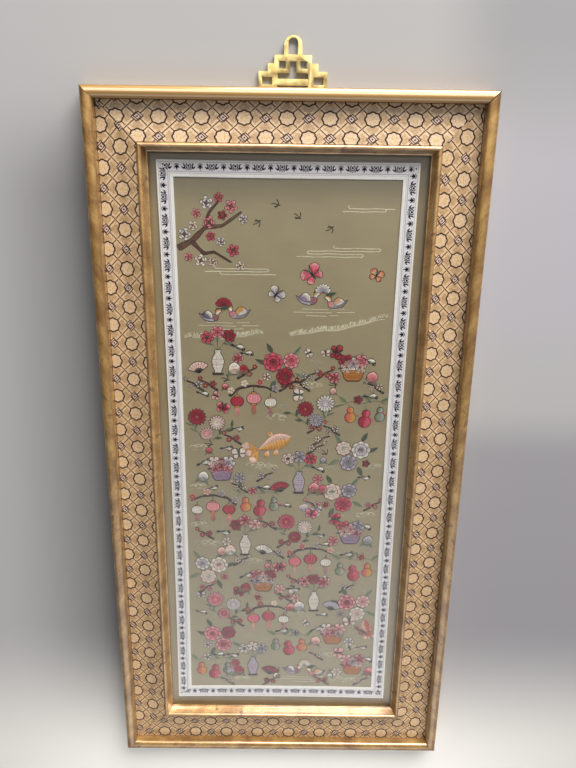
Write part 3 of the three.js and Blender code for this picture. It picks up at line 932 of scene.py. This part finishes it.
def duck(work, x, y, size, flip, breast, wing):
    """A mandarin duck afloat."""
    def at(*points):
        return placed(np.asarray(points) * (flip, 1), x, y, 0, size)

    body = at(
        (-8, 2.6), (-5.4, 1.2), (-2, 1.6), (1.6, 1.3), (4.0, 2.0), (5.0, 0.2), (4.0, -2.2), (0, -3.2),
        (-4.4, -2.2), (-6.6, 0.2),
    )
    work.patch(body, 0.15 * flip, "lilac", "grey")
    chest = at((2.2, 1.6), (4.2, 2.0), (5.0, 0.2), (4.0, -2.2), (1.8, -2.2), (1.2, 0))
    work.satin(chest, math.pi / 2, breast)
    head = at((3.0, 1.4), (2.8, 3.8), (4.2, 5.6), (6.0, 5.6), (6.9, 4.4), (6.2, 3.0), (5.0, 2.2), (4.8, 1.0))
    work.satin(head, math.pi / 2 + 0.4 * flip, "white", "gold", 0.6)
    work.satin(at((2.4, 4.2), (4.0, 6.2), (6.2, 6.0), (5.0, 5.0), (3.6, 4.6)), 0.2 * flip, "ink")
    work.edge(head, "ink", 0.62)
    work.satin(at((6.7, 4.6), (8.4, 3.9), (6.6, 3.8)), 0.0, "coral")
    feather = at((-6.4, 1.4), (-3.6, 4.0), (-1.4, 4.4), (0.8, 2.2), (1.0, -0.4), (-1.4, -1.4), (-4.6, -0.2))
    work.patch(feather, 0.5 * flip, wing, "white", 0.55)
    work.knots(at((5.2, 4.5)), "ink", 0.8 * size)


def magpie(work, x, y, size, turn, flip):
    """A perched black and white bird with a long tail."""
    def at(points):
        return placed(points, x, y, turn, size, flip)

    for lean in (3.3, 3.45):
        work.satin(at(placed(blade(8.5, 1.7, 0.7), -2.6, 0.4, lean)), turn + lean * flip, "ink", "slate", 0.7)
    work.patch(at(blade(9.4, 4.8, 0.58) - (4.2, 0.6)), turn + 1.3, "white", rim=0.6)
    work.satin(at(placed(blade(6.6, 2.9, 0.45), 2.6, 1.1, 3.25)), turn + 0.2, "ink", "slate", 0.6)
    work.satin(at(disc(2.1) + (4.3, 1.3)), turn + 0.9, "ink")
    work.satin(at([(6.0, 2.0), (8.2, 1.3), (6.1, 0.7)]), turn, "gold")
    work.knots(at([(4.8, 1.8)]), "white", 0.8)
    for claw in (-0.6, 0.9):
        work.stitch(*at([(claw, -2.4), (claw + 0.4, -4.8)]), "bark", 0.6)


def swallow(work, x, y, size, turn, flip):
    """A small dark bird on the wing, in a few thick strokes."""
    strokes = (
        (0.94, (0, 0), (-2.6, 2.2), (-6.0, 2.6)), (0.94, (0, 0), (1.0, 2.8), (-0.6, 5.6)),
        (0.94, (2.0, -0.4), (0, 0), (-3.4, -1.6)), (0.68, (-1.0, -0.4), (-4.2, -0.2)),
    )
    for width, *points in strokes:
        work.line(placed(points, x, y, turn, size, flip), "ink", width, 1.2)


def mist(work, x, y, runs, flip=1):
    """A band of drifting mist: one couched line that doubles back on itself in round turns."""
    line, gap = [], 3.4
    for k, (low, high) in enumerate(runs):
        side, level = 1 if k % 2 == 0 else -1, sum([gap] * k)
        near, far = (low, high)[::side]
        line += [(a, level + 0.3 * math.sin(a / 5)) for a in np.linspace(near, far, 9)]
        for a in np.linspace(0.3, 2.9, 6):
            line.append((far + side * 1.9 * math.sin(a), level + gap / 2 * (1 - math.cos(a))))
    work.line(np.array(line) * (flip, 1) + (x, y), "cream", 0.94)


def tuft(work, size, flip, floss):
    """A cloud of loose slanting strokes under an arched top."""
    draw = work.chance.uniform
    for lobe in range(3):
        middle, reach = (lobe - 1) * 4.6 * size, (3.6 - 0.7 * abs(lobe - 1)) * size
        top = arc(reach, reach, 0.2, 2.9, 8, middle, 0.9 * size * lobe * 0.4)
        work.line(top * (flip, 1), floss, 0.61, 1.6)
    for _ in range(int(13 * size)):
        start = np.array((draw(-7.5, 6.0) * size, draw(-2.2, 2.4) * size))
        reach = np.array((draw(1.6, 3.4), draw(0.4, 1.6))) * size
        work.stitch(start * (flip, 1), (start + reach) * (flip, 1), floss, 0.36, 0.2)


def grass(work, x, y, reach, slope):
    """A bank: wavering ground lines with a fringe of short leaning blades along them."""
    draw = work.chance.uniform

    def ground(a):
        waver = 1.6 * math.sin(9 * a) + 0.7 * math.sin(23 * a)
        return np.array((x + a * reach, y + slope * a * reach + waver))

    for drop in (0, -1.1, -2.0):
        low, high = draw(0, 0.12), draw(0.85, 1)
        work.line([ground(a) + (0, drop) for a in np.linspace(low, high, 26)], "cream", 0.6, 3.0)
    for k in range(round(reach * 1.5)):
        root = ground(draw(0, 1))
        lean = 0.55 * math.sin(k * 1.7) + draw(-0.25, 0.25)
        tip = root + np.array((math.sin(lean), math.cos(lean))) * 5.5 * draw(0.4, 1)
        work.stitch(root, tip, "cream", 0.42, 0.2)


def bough(work, line, widths, floss="brown"):
    """A branch: thick satin along its line, narrowing to the tip."""
    line = np.asarray(line, float)
    fine = np.linspace(0, 1, max(8, len(line) * 4))
    middle = np.column_stack([np.interp(fine, np.linspace(0, 1, len(line)), line[:, k]) for k in (0, 1)])
    ahead = np.gradient(middle, axis=0)
    ahead /= np.hypot(*ahead.T)[:, None]
    half = (np.interp(fine, (0, 1), widths) * (1 + 0.16 * np.sin(fine * 23)))[:, None] / 2
    aside = np.column_stack([-ahead[:, 1], ahead[:, 0]]) * half
    shape = np.vstack([middle + aside, (middle - aside)[::-1]])
    work.patch(shape, heading(middle, tip=-1) + 0.35, floss)


def lotus(work, x, y, size, near, far):
    """A lotus seen from the side: petals fanned about an upright one."""
    for lean in (-1.25, 1.25, -0.8, 0.8, -0.38, 0.38, 0):
        angle = math.pi / 2 + lean
        petal = placed(blade(7.4 * size, 3.7 * size, 0.55), x, y, angle)
        work.patch(petal, angle, near, far, 0.6, 0.57)


def fan(work, x, y, size, turn, floss):
    """An open folding fan."""
    sector = np.vstack([arc(8, 8, 0.5, 2.64, 14), arc(3.4, 3.4, 2.64, 0.5, 8)])
    work.patch(placed(sector, x, y, turn, size), turn + math.pi / 2, floss)
    for tip in arc(8, 8, 0.5, 2.64, 8):
        work.line(placed([(0, 0), tip], x, y, turn, size), "ink", 0.54)


CHOICES = [
    ("crimson", "rose"), ("blush", "white"), ("rose", "pink"), ("lilac", "white"), ("ruby", "crimson"),
    ("white", "blush"), ("crimson", "pink"), ("grey", "lilac"), ("pink", "blush"),
]


def pair(k):
    return CHOICES[k % len(CHOICES)]


def flower_basket(work, k, flip):
    flowers = [(*pair(k + n), 4.2 + 0.5 * (n % 2)) for n in range(5)]
    basket(work, 1.08, "amber" if k % 2 else "mauve", flowers)
    butterfly(work, flip * 12, 13, 0.72, 0.9 * flip + 0.8, *pair(k + 3))
    fruit(work, -flip * 12.5, -4, 3.6, *pair(k + 1), turn=1.3)
    bloom(work, flip * 12, -4.5, 4.0, 6, *pair(k + 5))
    leaf(work, flip * 12, -7.5, 5, 2, -1.2 * flip, "moss")
    magpie(work, -flip * 11, 7, 0.62, 0.3 * flip, flip)


def vase_group(work, k, flip):
    vase(work, 1.15, "lilac" if k % 2 else "white", "crimson", [pair(k), pair(k + 2), pair(k + 4)])
    fruit(work, flip * 10.5, -4.5, 3.9, *pair(k + 1))
    fruit(work, flip * 16.5, -5.5, 3.2, *pair(k + 4))
    fan(work, -flip * 12, -7.5, 0.95, 0.25 * flip, pair(k + 1)[0])
    bloom(work, flip * 13, 2.6, 3.6, 6, *pair(k + 6))
    magpie(work, flip * 14, 10, 0.6, -0.2, -flip)


def chrysanthemums(work, k, flip):
    spray(work, -flip * 4, -12, 17, math.pi / 2 + 0.35 * flip, 5, "sage", 0.2 * flip)
    spray(work, flip * 3, -12, 16, math.pi / 2 - 0.7 * flip, 4, "moss", -0.2 * flip)
    daisy_head(work, -flip * 7, 5, 6.2, *pair(k))
    daisy_head(work, flip * 6, 1, 5.6, *pair(k + 1))
    daisy_head(work, -flip, -7, 4.8, *pair(k + 4))
    butterfly(work, flip * 10, 11, 0.66, 2.2 - 0.9 * flip, *pair(k + 2))


def lanterns(work, k, flip):
    arch = np.array([(-15, 5), (-9, 10.5), (0, 12.5), (9, 11.5), (16, 8)]) * (flip, 1)
    bough(work, arch, (1.7, 0.8), "bark")
    first, second = ("crimson", "rose", "pink"), ("pink", "crimson", "coral")
    if k % 2 == 0:
        first, second = ("rose", "blush", "rose"), ("crimson", "pink", "rose")
    lantern(work, -flip * 10, 1.5, 0.95, *first)
    lantern(work, flip, 3.6, 1.02, *second)
    lantern(work, flip * 12, 1.0, 0.85, "white", "mauve", "rose")
    for x, y in ((-14, 9), (-5, 14), (5, 15), (15, 11)):
        bloom(work, flip * x, y, 2.5, 5, *pair(k + x), edged=False)


def gourds(work, k, flip):
    vine = np.array([(-15, 7), (-8, 10), (0, 8.5), (8, 10.5), (14, 8)]) * (flip, 1)
    work.line(vine, "moss", 0.94)
    for x, y, turn in ((-12, 9, 2.4), (-4, 10, 0.9), (4, 9, 2.2), (11, 10, 0.5)):
        leaf(work, flip * x, y, 6.4, 3.2, turn if flip > 0 else math.pi - turn)
    gourd(work, -flip * 9, 1.0, 1.0, math.pi / 2, "gold", "coral")
    gourd(work, flip, -1.5, 1.15, math.pi / 2 - 0.15 * flip, "rose", "crimson")
    gourd(work, flip * 10.5, 1.5, 0.9, math.pi / 2, "stone", "sage")
    bloom(work, -flip * 4.4, 11, 3.2, 5, *pair(k + 2))
    magpie(work, flip * 5, 13.5, 0.6, 0.1, -flip)


def peonies(work, k, flip):
    leaves = ((-10, 2, 2.7, 8), (9, -4, -0.5, 8), (-4, -9, -2.0, 8), (8, 9, 0.9, 7), (-6, 10, 2.1, 7))
    for x, y, turn, long in leaves:
        turn = turn if flip > 0 else math.pi - turn
        leaf(work, flip * x, y, long, 3.3, turn, "sage" if x > 0 else "moss")
    for x, y, radius, n in ((-5.5, 3.5, 6.6, 0), (6.2, 4.6, 5.4, 2), (2.4, -6.0, 6.0, 4)):
        bloom(work, flip * x, y, radius, 8, *pair(k + n), turn=0.4 * n, plump=0.74)
    bloom(work, -flip * 9.5, -6.5, 2.9, 5, *pair(k + 1))


def duck_pair(work, k, flip):
    for low, reach in ((-4.4, 12), (-6.4, 17), (-8.6, 9)):
        work.line([(-reach, low), (reach * 0.4, low - 0.3)], "cream", 0.71, 3)
        work.line([(reach * 0.6, low), (reach * 1.25, low + 0.2)], "cream", 0.71, 3)
    first, second = ("crimson", "mauve"), ("coral", "peach")
    if k % 2 == 0:
        first, second = ("rose", "gold"), ("crimson", "slate")
    duck(work, -flip * 7.5, 1.5, 1.05, flip, *first)
    duck(work, flip * 9.0, -0.8, 0.95, -flip, *second)
    lotus(work, flip, 6.5, 0.75, *pair(k + 2))
    leaf(work, flip * 3, 4.5, 6.5, 2.8, 0.25, "moss")


# The garden: where each group is worked on the silk, from the middle of the frame, with the group's colours
# and the way it faces.
GROUP_SCALE = 1.9
SCATTER_SCALE = 1.45
PLAN = [
    ("sky", [(duck_pair, 40, 214, 1, 1), (duck_pair, -74, 196, 2, -1)]),
    ("upper", [
        (vase_group, -84, 138, 0, 1), (peonies, -6, 132, 0, 1), (flower_basket, 82, 128, 1, -1),
        (lanterns, -42, 84, 1, 1), (chrysanthemums, 36, 76, 3, -1), (gourds, 98, 70, 2, 1),
    ]),
    ("middle", [
        (chrysanthemums, -98, 56, 4, 1), (peonies, 86, 16, 3, -1),
        (flower_basket, -82, -10, 2, 1), (vase_group, 18, -24, 5, 1),
        (gourds, -34, -58, 0, 1), (peonies, 72, -44, 5, 1), (lanterns, -92, -68, 3, -1),
    ]),
    ("lower", [
        (chrysanthemums, 16, -92, 0, 1), (flower_basket, 88, -102, 6, -1), (vase_group, -52, -118, 4, -1),
        (peonies, -98, -156, 1, -1), (lanterns, 34, -146, 2, 1), (gourds, 96, -156, 4, -1),
        (flower_basket, -28, -178, 3, 1), (vase_group, 42, -206, 2, -1), (peonies, 98, -214, 6, 1),
    ]),
    ("foot", [
        (chrysanthemums, -80, -214, 2, 1), (lanterns, -22, -238, 0, 1), (flower_basket, 70, -264, 7, 1),
        (peonies, -88, -268, 2, 1), (gourds, 10, -280, 5, -1), (vase_group, -42, -316, 3, -1),
        (flower_basket, 100, -316, 5, -1), (duck_pair, 30, -326, 3, 1), (gourds, -98, -322, 1, 1),
    ]),
]
works = {}
for number, (part, groups) in enumerate(PLAN):
    work = works[part] = Needlework(11 + number)
    for group, x, y, k, flip in groups:
        work.begin(x, y, GROUP_SCALE)
        group(work, k, flip)

sky, upper, middle, lower, foot = works.values()
sky.begin()
mist(sky, 10, 268, [(0, 76), (14, 60), (22, 96), (44, 84)])
mist(sky, -14, 246, [(0, 64), (10, 84), (26, 70)], flip=-1)
mist(sky, 62, 320, [(0, 48), (8, 60)])
for x, y, turn, flip in ((-12, 326, 0.2, 1), (12, 312, -0.3, 1), (-34, 308, 0.1, -1), (50, 302, 0.1, -1)):
    sky.begin(x, y, 1.2)
    swallow(sky, 0, 0, 1, turn, flip)
sky.begin()
bough(sky, [(-128, 276), (-112, 284), (-96, 300), (-76, 302), (-54, 318)], (7.0, 2.0))
bough(sky, [(-112, 284), (-98, 270), (-86, 272), (-66, 260)], (4.4, 1.4))
bough(sky, [(-96, 300), (-92, 316), (-80, 330)], (3.6, 1.3))
blossoms = [
    (-120, 292), (-110, 302), (-106, 316), (-94, 328), (-80, 334), (-76, 314), (-66, 324), (-52, 310),
    (-90, 290), (-102, 262), (-88, 260), (-78, 284), (-64, 274), (-56, 256), (-116, 266), (-92, 306),
]
for k, (x, y) in enumerate(blossoms):
    sky.begin(x, y, 1.3)
    bloom(sky, 0, 0, 4.6 if k % 3 else 6.0, 5, *pair((k % 4) + (k % 5 == 0) * 3), turn=k)
for x, y, size, turn, *wing in (
    (30, 246, 1.9, 2.3, "rose", "pink"),
    (-14, 222, 1.5, 0.9, "lilac", "white"),
    (104, 246, 1.3, 1.2, "peach", "coral"),
):
    sky.begin(x, y, size)
    butterfly(sky, 0, 0, 1, turn, *wing)
sky.begin()
grass(sky, -124, 168, 96, 0.06)
grass(sky, 4, 172, 120, 0.2)

for work, x, y, size, turn, *colours in (
    (upper, -16, 30, 2.5, 0.42, "blush", "gold", 1, "amber"),
    (middle, 30, -62, 1.2, 2.9, "white", "lilac", -1, "slate"),
    (foot, 116, -248, 1.3, 1.9, "blush", "coral", 1, "ruby"),
):
    work.begin(x, y, size)
    carp(work, turn, *colours)

# Between the groups, on a staggered grid: birds, butterflies, peaches, sprigs of blossom and wisps of mist.
scatter = np.random.default_rng(5)
taken = [(x, y + 4) for part, groups in PLAN for group, x, y, k, flip in groups] + [(-26, 27), (4, 32)]
for row, level in enumerate(range(-340, 164, 14)):
    for column in range(-114, 118, 19):
        x = column + 9.5 * (row % 2) + scatter.uniform(-3, 3)
        y = level + scatter.uniform(-2.5, 2.5)
        k, kind, flip = int(scatter.integers(9)), int(scatter.integers(8)), int(scatter.choice((-1, 1)))
        if x > 116 or min(((x - a) / 35) ** 2 + ((y - b) / 27) ** 2 for a, b in taken) < 1:
            continue
        work = upper if y > 60 else middle if y > -80 else lower if y > -205 else foot
        work.begin(x, y, SCATTER_SCALE)
        if kind < 3:
            tuft(work, 0.8 + 0.15 * kind, flip, "cream" if kind else "stone")
        elif kind == 3:
            magpie(work, 0, 0, 0.72, scatter.uniform(-0.4, 0.4), flip)
        elif kind == 4:
            butterfly(work, 0, 0, 0.6, scatter.uniform(0.4, 2.7), *pair(k))
        elif kind == 5:
            swallow(work, 2, 3, 0.9, scatter.uniform(-0.4, 0.4), flip)
            fruit(work, 0, -3, 2.8, *pair(k))
        else:
            bough(work, np.array([(-7, -5), (-2, -2), (2, 2), (8, 4)]) * (flip, 1), (1.6, 0.7), "bark")
            for bud, (dx, dy) in enumerate(((-3, 1), (3.5, -0.5), (8, 6))):
                bloom(work, flip * dx, dy, 3.2 - 0.5 * bud, 5, *pair(k), turn=k)
embroidery = [work.onto(f"embroidery_{part}") for part, work in works.items()]


# Ribbon border: four lengths of white woven ribbon, mitred at the corners and pasted over the silk's edge.
# Navy weft floats draw scrolled knots and small flowers along it. Each was laid a little bowed, the left one
# most.
RIBBON_WIDTH = 18.5
RIBBON_LOW = 7.25
RIBBON_THICKNESS = 1.0
RIBBON_FACE = RIBBON_LOW + RIBBON_THICKNESS
# Each ribbon's length, middle, turn, bow, where one knot falls along it, its pitch, and the figure's middle.
RIBBONS = {
    "bottom": (BORDER_SIZE[0], (0, -BORDER_SIZE[1] / 2), 0, 1.8, -6.2, 26.4, 10.0),
    "right": (BORDER_SIZE[1], (BORDER_SIZE[0] / 2, 0), math.pi / 2, 1.6, 3.2, 26.28, 7.4),
    "top": (BORDER_SIZE[0], (0, BORDER_SIZE[1] / 2), math.pi, 0.4, 6.8, 26.3, 7.6),
    "left": (BORDER_SIZE[1], (-BORDER_SIZE[0] / 2, 0), -math.pi / 2, 2.4, 6.5, 26.0, 7.2),
}
# The woven figure as its maker would chart it, one mark a pick, drawn to its middle and mirrored. Its first
# row lies nearest the outer edge.
KNOT = [
    "....###.....##...",
    "....####...####..",
    ".....###..###..##",
    ".....####.##..###",
    "......###.##..###",
    "##....###.###..##",
    "####.####..###...",
    ".##########.###.#",
    "..########.##.###",
    "....####..##.##..",
    ".........##.##..#",
    "...........#...##",
]
BLOSSOM = [
    "...###", ".###..", "##..##", "#..###", "..####", ".#####",
    "######", "##.###", "#...##", "....##", "......", "....##",
]
PICK_LENGTH = 0.46
PICK_PITCH = 0.62
FLOAT_WIDTH = 0.76
FLOAT_RISE = 0.19
FLOAT_SINK = 0.03
SELVAGE_DROP = 0.16


def ribbon_finish():
    ribbon = Finish("ribbon", 0.45, Sheen_Weight=0.5, Sheen_Roughness=0.35)
    weave = ribbon.place("weave")
    along, across = ribbon.axes(weave)[:2]
    fuzz = ribbon.cloud(weave, 0.5, detail=2)
    wear = ribbon.cloud(weave, 30, detail=3)
    line = abs(across - 2.5).under(0.2, 0.14)
    double_line = abs(abs(across - 13.7) - 0.8).under(0.24, 0.14)
    scallop = abs(across - 11.9 - abs(ribs(along, 3.2) * 0.55)).under(0.22, 0.14)
    ribbon.paint(
        (252, 250, 250),
        (abs(across - 8.5).under(5.2, 0.3), (240, 236, 244)),
        (wear.ease(0.45, 0.75) * 0.3, (226, 220, 212)),
        ((fuzz - 0.5).ease(0, 0.3) * 0.3, (206, 206, 216)),
        (line * 0.7, (72, 72, 98)),
        (double_line * 0.6, (96, 98, 130)),
        (scallop * 0.45, (120, 124, 150)),
    )
    rib = ribs(along, 0.55) * 0.5 + ribs(across, 0.42) * 0.3
    ribbon.relief(rib * 0.5 + fuzz * 0.6 - line * 0.5 - double_line * 0.4, 0.14)
    return ribbon.material


ribbon_weave = ribbon_finish()
navy = Finish("navy_weft", 0.7, Specular_IOR_Level=0.15)
navy.paint((9, 11, 30), (navy.cloud(navy.place(), 0.25, detail=2), (24, 26, 52)))


def bowed(points, reach, bow):
    """Moves points along a ribbon's own plane as its bow does."""
    moved = np.array(points, float)
    moved[..., 1] += bow * (1 - np.clip(moved[..., 0] / reach, -1, 1) ** 2)
    return moved


def floats(chart, middle, level, reach):
    """A chart's runs of picks as floats, each with its two ends, stopped short of the ribbon's mitres."""
    drawn = []
    for row, half in enumerate(chart):
        across = level + (row - (len(chart) - 1) / 2) * PICK_PITCH
        limit = reach - across - 0.7
        for run in re.finditer("#+", half + half[::-1]):
            ends = [middle + (place - len(half)) * PICK_LENGTH for place in run.span()]
            low, high = np.clip(ends, -limit, limit)
            if high - low > 0.3:
                drawn.append((low - 0.06, across, high + 0.06, across))
    return drawn


ribbon_outline = [(0.15, RIBBON_LOW), (RIBBON_WIDTH - 0.15, RIBBON_LOW)]
for x in (18.5, 18.1, 17.4, 15.5, 12.5, 9.5, 6.5, 3.5, 1.1, 0.4, 0):
    from_edge = min(x, RIBBON_WIDTH - x)
    ribbon_outline.append((x, RIBBON_FACE - SELVAGE_DROP * math.exp(-from_edge / 0.35)))
for side, (length, middle, turn, bow, first, pitch, level) in RIBBONS.items():
    ribbon = moulding(f"ribbon_border_{side}", ribbon_outline, length, cuts=64, early=0.25, late=0.25)
    points = points_of(ribbon)
    mark(ribbon, "weave", points)
    put_points(ribbon, bowed(points, length / 2, bow))
    runs = []
    repeats = math.ceil(length / pitch / 2) + 1
    for repeat in range(-repeats, repeats):
        runs += floats(KNOT, first + repeat * pitch, level, length / 2)
        runs += floats(BLOSSOM, first + (repeat + 0.5) * pitch, level, length / 2)
    runs = np.array(runs)
    plan = bowed(ridge_plan(runs[:, 0:2], runs[:, 2:4], FLOAT_WIDTH), length / 2, bow)
    feet = np.full(plan.shape[:2], RIBBON_FACE - FLOAT_SINK)
    figure = ridges(f"ribbon_figure_{side}", plan, feet, FLOAT_RISE)
    figure.data.materials.append(navy.material)
    ribbon.data.materials.append(ribbon_weave)
    for piece in (ribbon, figure):
        settle(piece, (middle[0] + BORDER_MIDDLE[0], middle[1] + BORDER_MIDDLE[1]), turn)
    smooth(ribbon, 40)
    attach(ribbon, "root")
    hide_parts(f"ribbon_{side}")


# Glass: a pane of thin clear window glass, held under the lip of the slip. Light passes through it, and it
# mirrors the room a little, most when it is seen from low down.
GLASS_SHINE = 0.045

glass = Finish("glass", 0.05)
tree = glass.tree
clear = tree.nodes.new("ShaderNodeBsdfTransparent")
clear.inputs["Color"].default_value = tint(253, 253, 252)
gloss = tree.nodes.new("ShaderNodeBsdfGlossy")
gloss.inputs["Roughness"].default_value = 0.03
facing = tree.nodes.new("ShaderNodeLayerWeight")
facing.inputs["Blend"].default_value = 0.5
edge_on = Amount(tree, facing.outputs["Facing"])
shine = GLASS_SHINE + edge_on * edge_on * edge_on * edge_on * edge_on * 0.95
pane = tree.nodes.new("ShaderNodeMixShader")
for place, source in zip(pane.inputs, (shine.socket, clear.outputs[0], gloss.outputs[0])):
    tree.links.new(source, place)
tree.links.new(pane.outputs[0], tree.nodes["Material Output"].inputs["Surface"])
tree.nodes.remove(glass.shader)
refinish("glass_pane", glass)


# Hanger: a flat plate of cast brass, pierced as stepped fretwork round a loop for the nail. It is let into
# the back of the top rail and held by two steel screws.
brass = Finish("hanger_brass", 0.32, 0.85)
place = brass.place()
grain = brass.cloud(place, 0.8, detail=4)
patches = brass.cloud(place, 7, detail=4)
brass.paint((188, 170, 116), (patches.ease(0.35, 0.7), (158, 136, 84)))
brass.feed("Roughness", 0.3 + grain * 0.2)
brass.relief(grain, 0.12)

plate = bpy.data.objects.new("hanger_plate", nodes["hanger"].data.copy())
bpy.context.scene.collection.objects.link(plate)
take_up(plate)
bpy.ops.object.mode_set(mode="EDIT")
bpy.ops.mesh.select_all(action="SELECT")
bpy.ops.mesh.remove_doubles(threshold=0.00001)
bpy.ops.mesh.dissolve_limited(angle_limit=math.radians(1))
bpy.ops.object.mode_set(mode="OBJECT")
worn_edge = plate.modifiers.new("worn_edge", "BEVEL")
worn_edge.width = 0.45 * MM
worn_edge.segments = 2
worn_edge.limit_method = "ANGLE"
worn_edge.angle_limit = math.radians(50)
bpy.ops.object.modifier_apply(modifier=worn_edge.name)
smooth(plate, 40)
plate.data.materials.clear()
plate.data.materials.append(brass.material)
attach(plate, "root")
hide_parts("hanger")

steel = Finish("screw_steel", 0.4, 0.9)
rust = steel.cloud(steel.place(), 1.1, detail=5)
steel.paint((150, 148, 142), (rust.ease(0.45, 0.7), (112, 84, 60)))
steel.feed("Roughness", 0.34 + rust * 0.3)
steel.relief(rust, 0.08)
for side in ("left", "right"):
    refinish(f"hanger_screw_{side}", steel)


# Setting: a plain grey floor for a backdrop, its colour painted with light and shade: a painted shadow beside
# the frame's left side, painted light and shade to its right, and paler towards the camera. A tall window
# beyond the top of the frame, a panel that only glints on the gilt, and a small low lamp lighting the floor
# below the frame. A pale wall behind the camera shows in the glass.
KEY_PLACE, KEY_SIZE, KEY_WATTS = (1.23, 3.78, 1.65), (3.4, 3.05), 412
FOOT_PLACE, FOOT_SIZE, FOOT_WATTS = (0, -0.8, 0.4), (0.66, 0.2), 0.55
GLARE_PLACE, GLARE_SIZE, GLARE_WATTS = (0, 1.25, 1.85), (2.6, 1.0), 46
PALE_LIGHT = (1, 0.98, 0.95)
LENS = 33.862
CAMERA_PLACE = (-0.002706, 0.375533, 0.852308)
CAMERA_TURN = (-19.007, -0.312, 0.745)

floor_paint = Finish("floor_paint", 0.9)
x, y = floor_paint.axes(floor_paint.place())[:2]
beyond = x.ease(140, 240)
floor_paint.paint(
    (176, 175, 176),
    # Painted shadow: the floor darker beside the frame's left side, where its shadow falls.
    (x.ease(-400, -215) * x.ease(40, -40) * y.ease(430, 300), (124, 123, 124)),
    # Painted light and shade to the right of the frame: a light band beside its middle, darker low down and
    # near the top.
    (beyond * y.ease(60, 190) * y.ease(500, 360), (176, 174, 181)),
    (beyond * y.ease(60, -20), (152, 150, 156)),
    (beyond * y.ease(330, 500), (156, 156, 159)),
    # Paler towards the camera: partly a paler surface there, partly painted light that lifts the frame's
    # shadow below it.
    (y.ease(-270, -520), (230, 228, 224)),
)
deselect_all()
bpy.ops.mesh.primitive_plane_add(size=8, location=(0, 0, -0.0005))
floor = bpy.context.object
floor.name = "floor"
floor.data.materials.append(floor_paint.material)


def soft_light(name, place, aim, size, watts, colour):
    lamp = bpy.data.lights.new(name, "AREA")
    lamp.shape = "RECTANGLE"
    lamp.size, lamp.size_y = size
    lamp.energy = watts
    lamp.color = colour
    holder = bpy.data.objects.new(name, lamp)
    holder.location = place
    holder.rotation_euler = (Vector(aim) - Vector(place)).to_track_quat("-Z", "Y").to_euler()
    bpy.context.scene.collection.objects.link(holder)
    return holder


soft_light("key", KEY_PLACE, (0, 0, 0), KEY_SIZE, KEY_WATTS, (1, 0.97, 0.92))
foot_lamp = soft_light("foot", FOOT_PLACE, (0, -0.64, 0), FOOT_SIZE, FOOT_WATTS, PALE_LIGHT)
foot_lamp.data.spread = math.radians(70)
foot_lamp.visible_glossy = False
glare = soft_light("glare", GLARE_PLACE, (0, 0.4, 0), GLARE_SIZE, GLARE_WATTS, PALE_LIGHT)
glare.visible_diffuse = False

world = bpy.data.worlds.new("studio")
world.use_nodes = True
studio = world.node_tree
where = studio.nodes.new("ShaderNodeSeparateXYZ")
studio.links.new(studio.nodes.new("ShaderNodeTexCoord").outputs["Generated"], where.inputs[0])
right, onward, above = (Amount(studio, socket) for socket in where.outputs)
behind = onward.ease(-0.3, -0.7)
strength = behind * (above.ease(0.55, 0.72) * 1.5 + 0.25) + right.ease(-0.4, 0.7) * 0.2 + 0.03
studio.links.new(strength.socket, studio.nodes["Background"].inputs["Strength"])
studio.nodes["Background"].inputs["Color"].default_value = (0.95, 0.97, 1.0, 1)
bpy.context.scene.world = world
bpy.context.scene.view_settings.view_transform = "Standard"

view = bpy.data.cameras.new("view")
view.sensor_width = 36
view.lens = LENS
view.clip_start = 0.01
camera = bpy.data.objects.new("view", view)
tilt, roll, spin = (Matrix.Rotation(math.radians(angle), 4, axis) for angle, axis in zip(CAMERA_TURN, "XYZ"))
camera.matrix_world = Matrix.Translation(CAMERA_PLACE) @ (tilt @ roll @ spin)
bpy.context.scene.collection.objects.link(camera)
bpy.context.scene.camera = camera
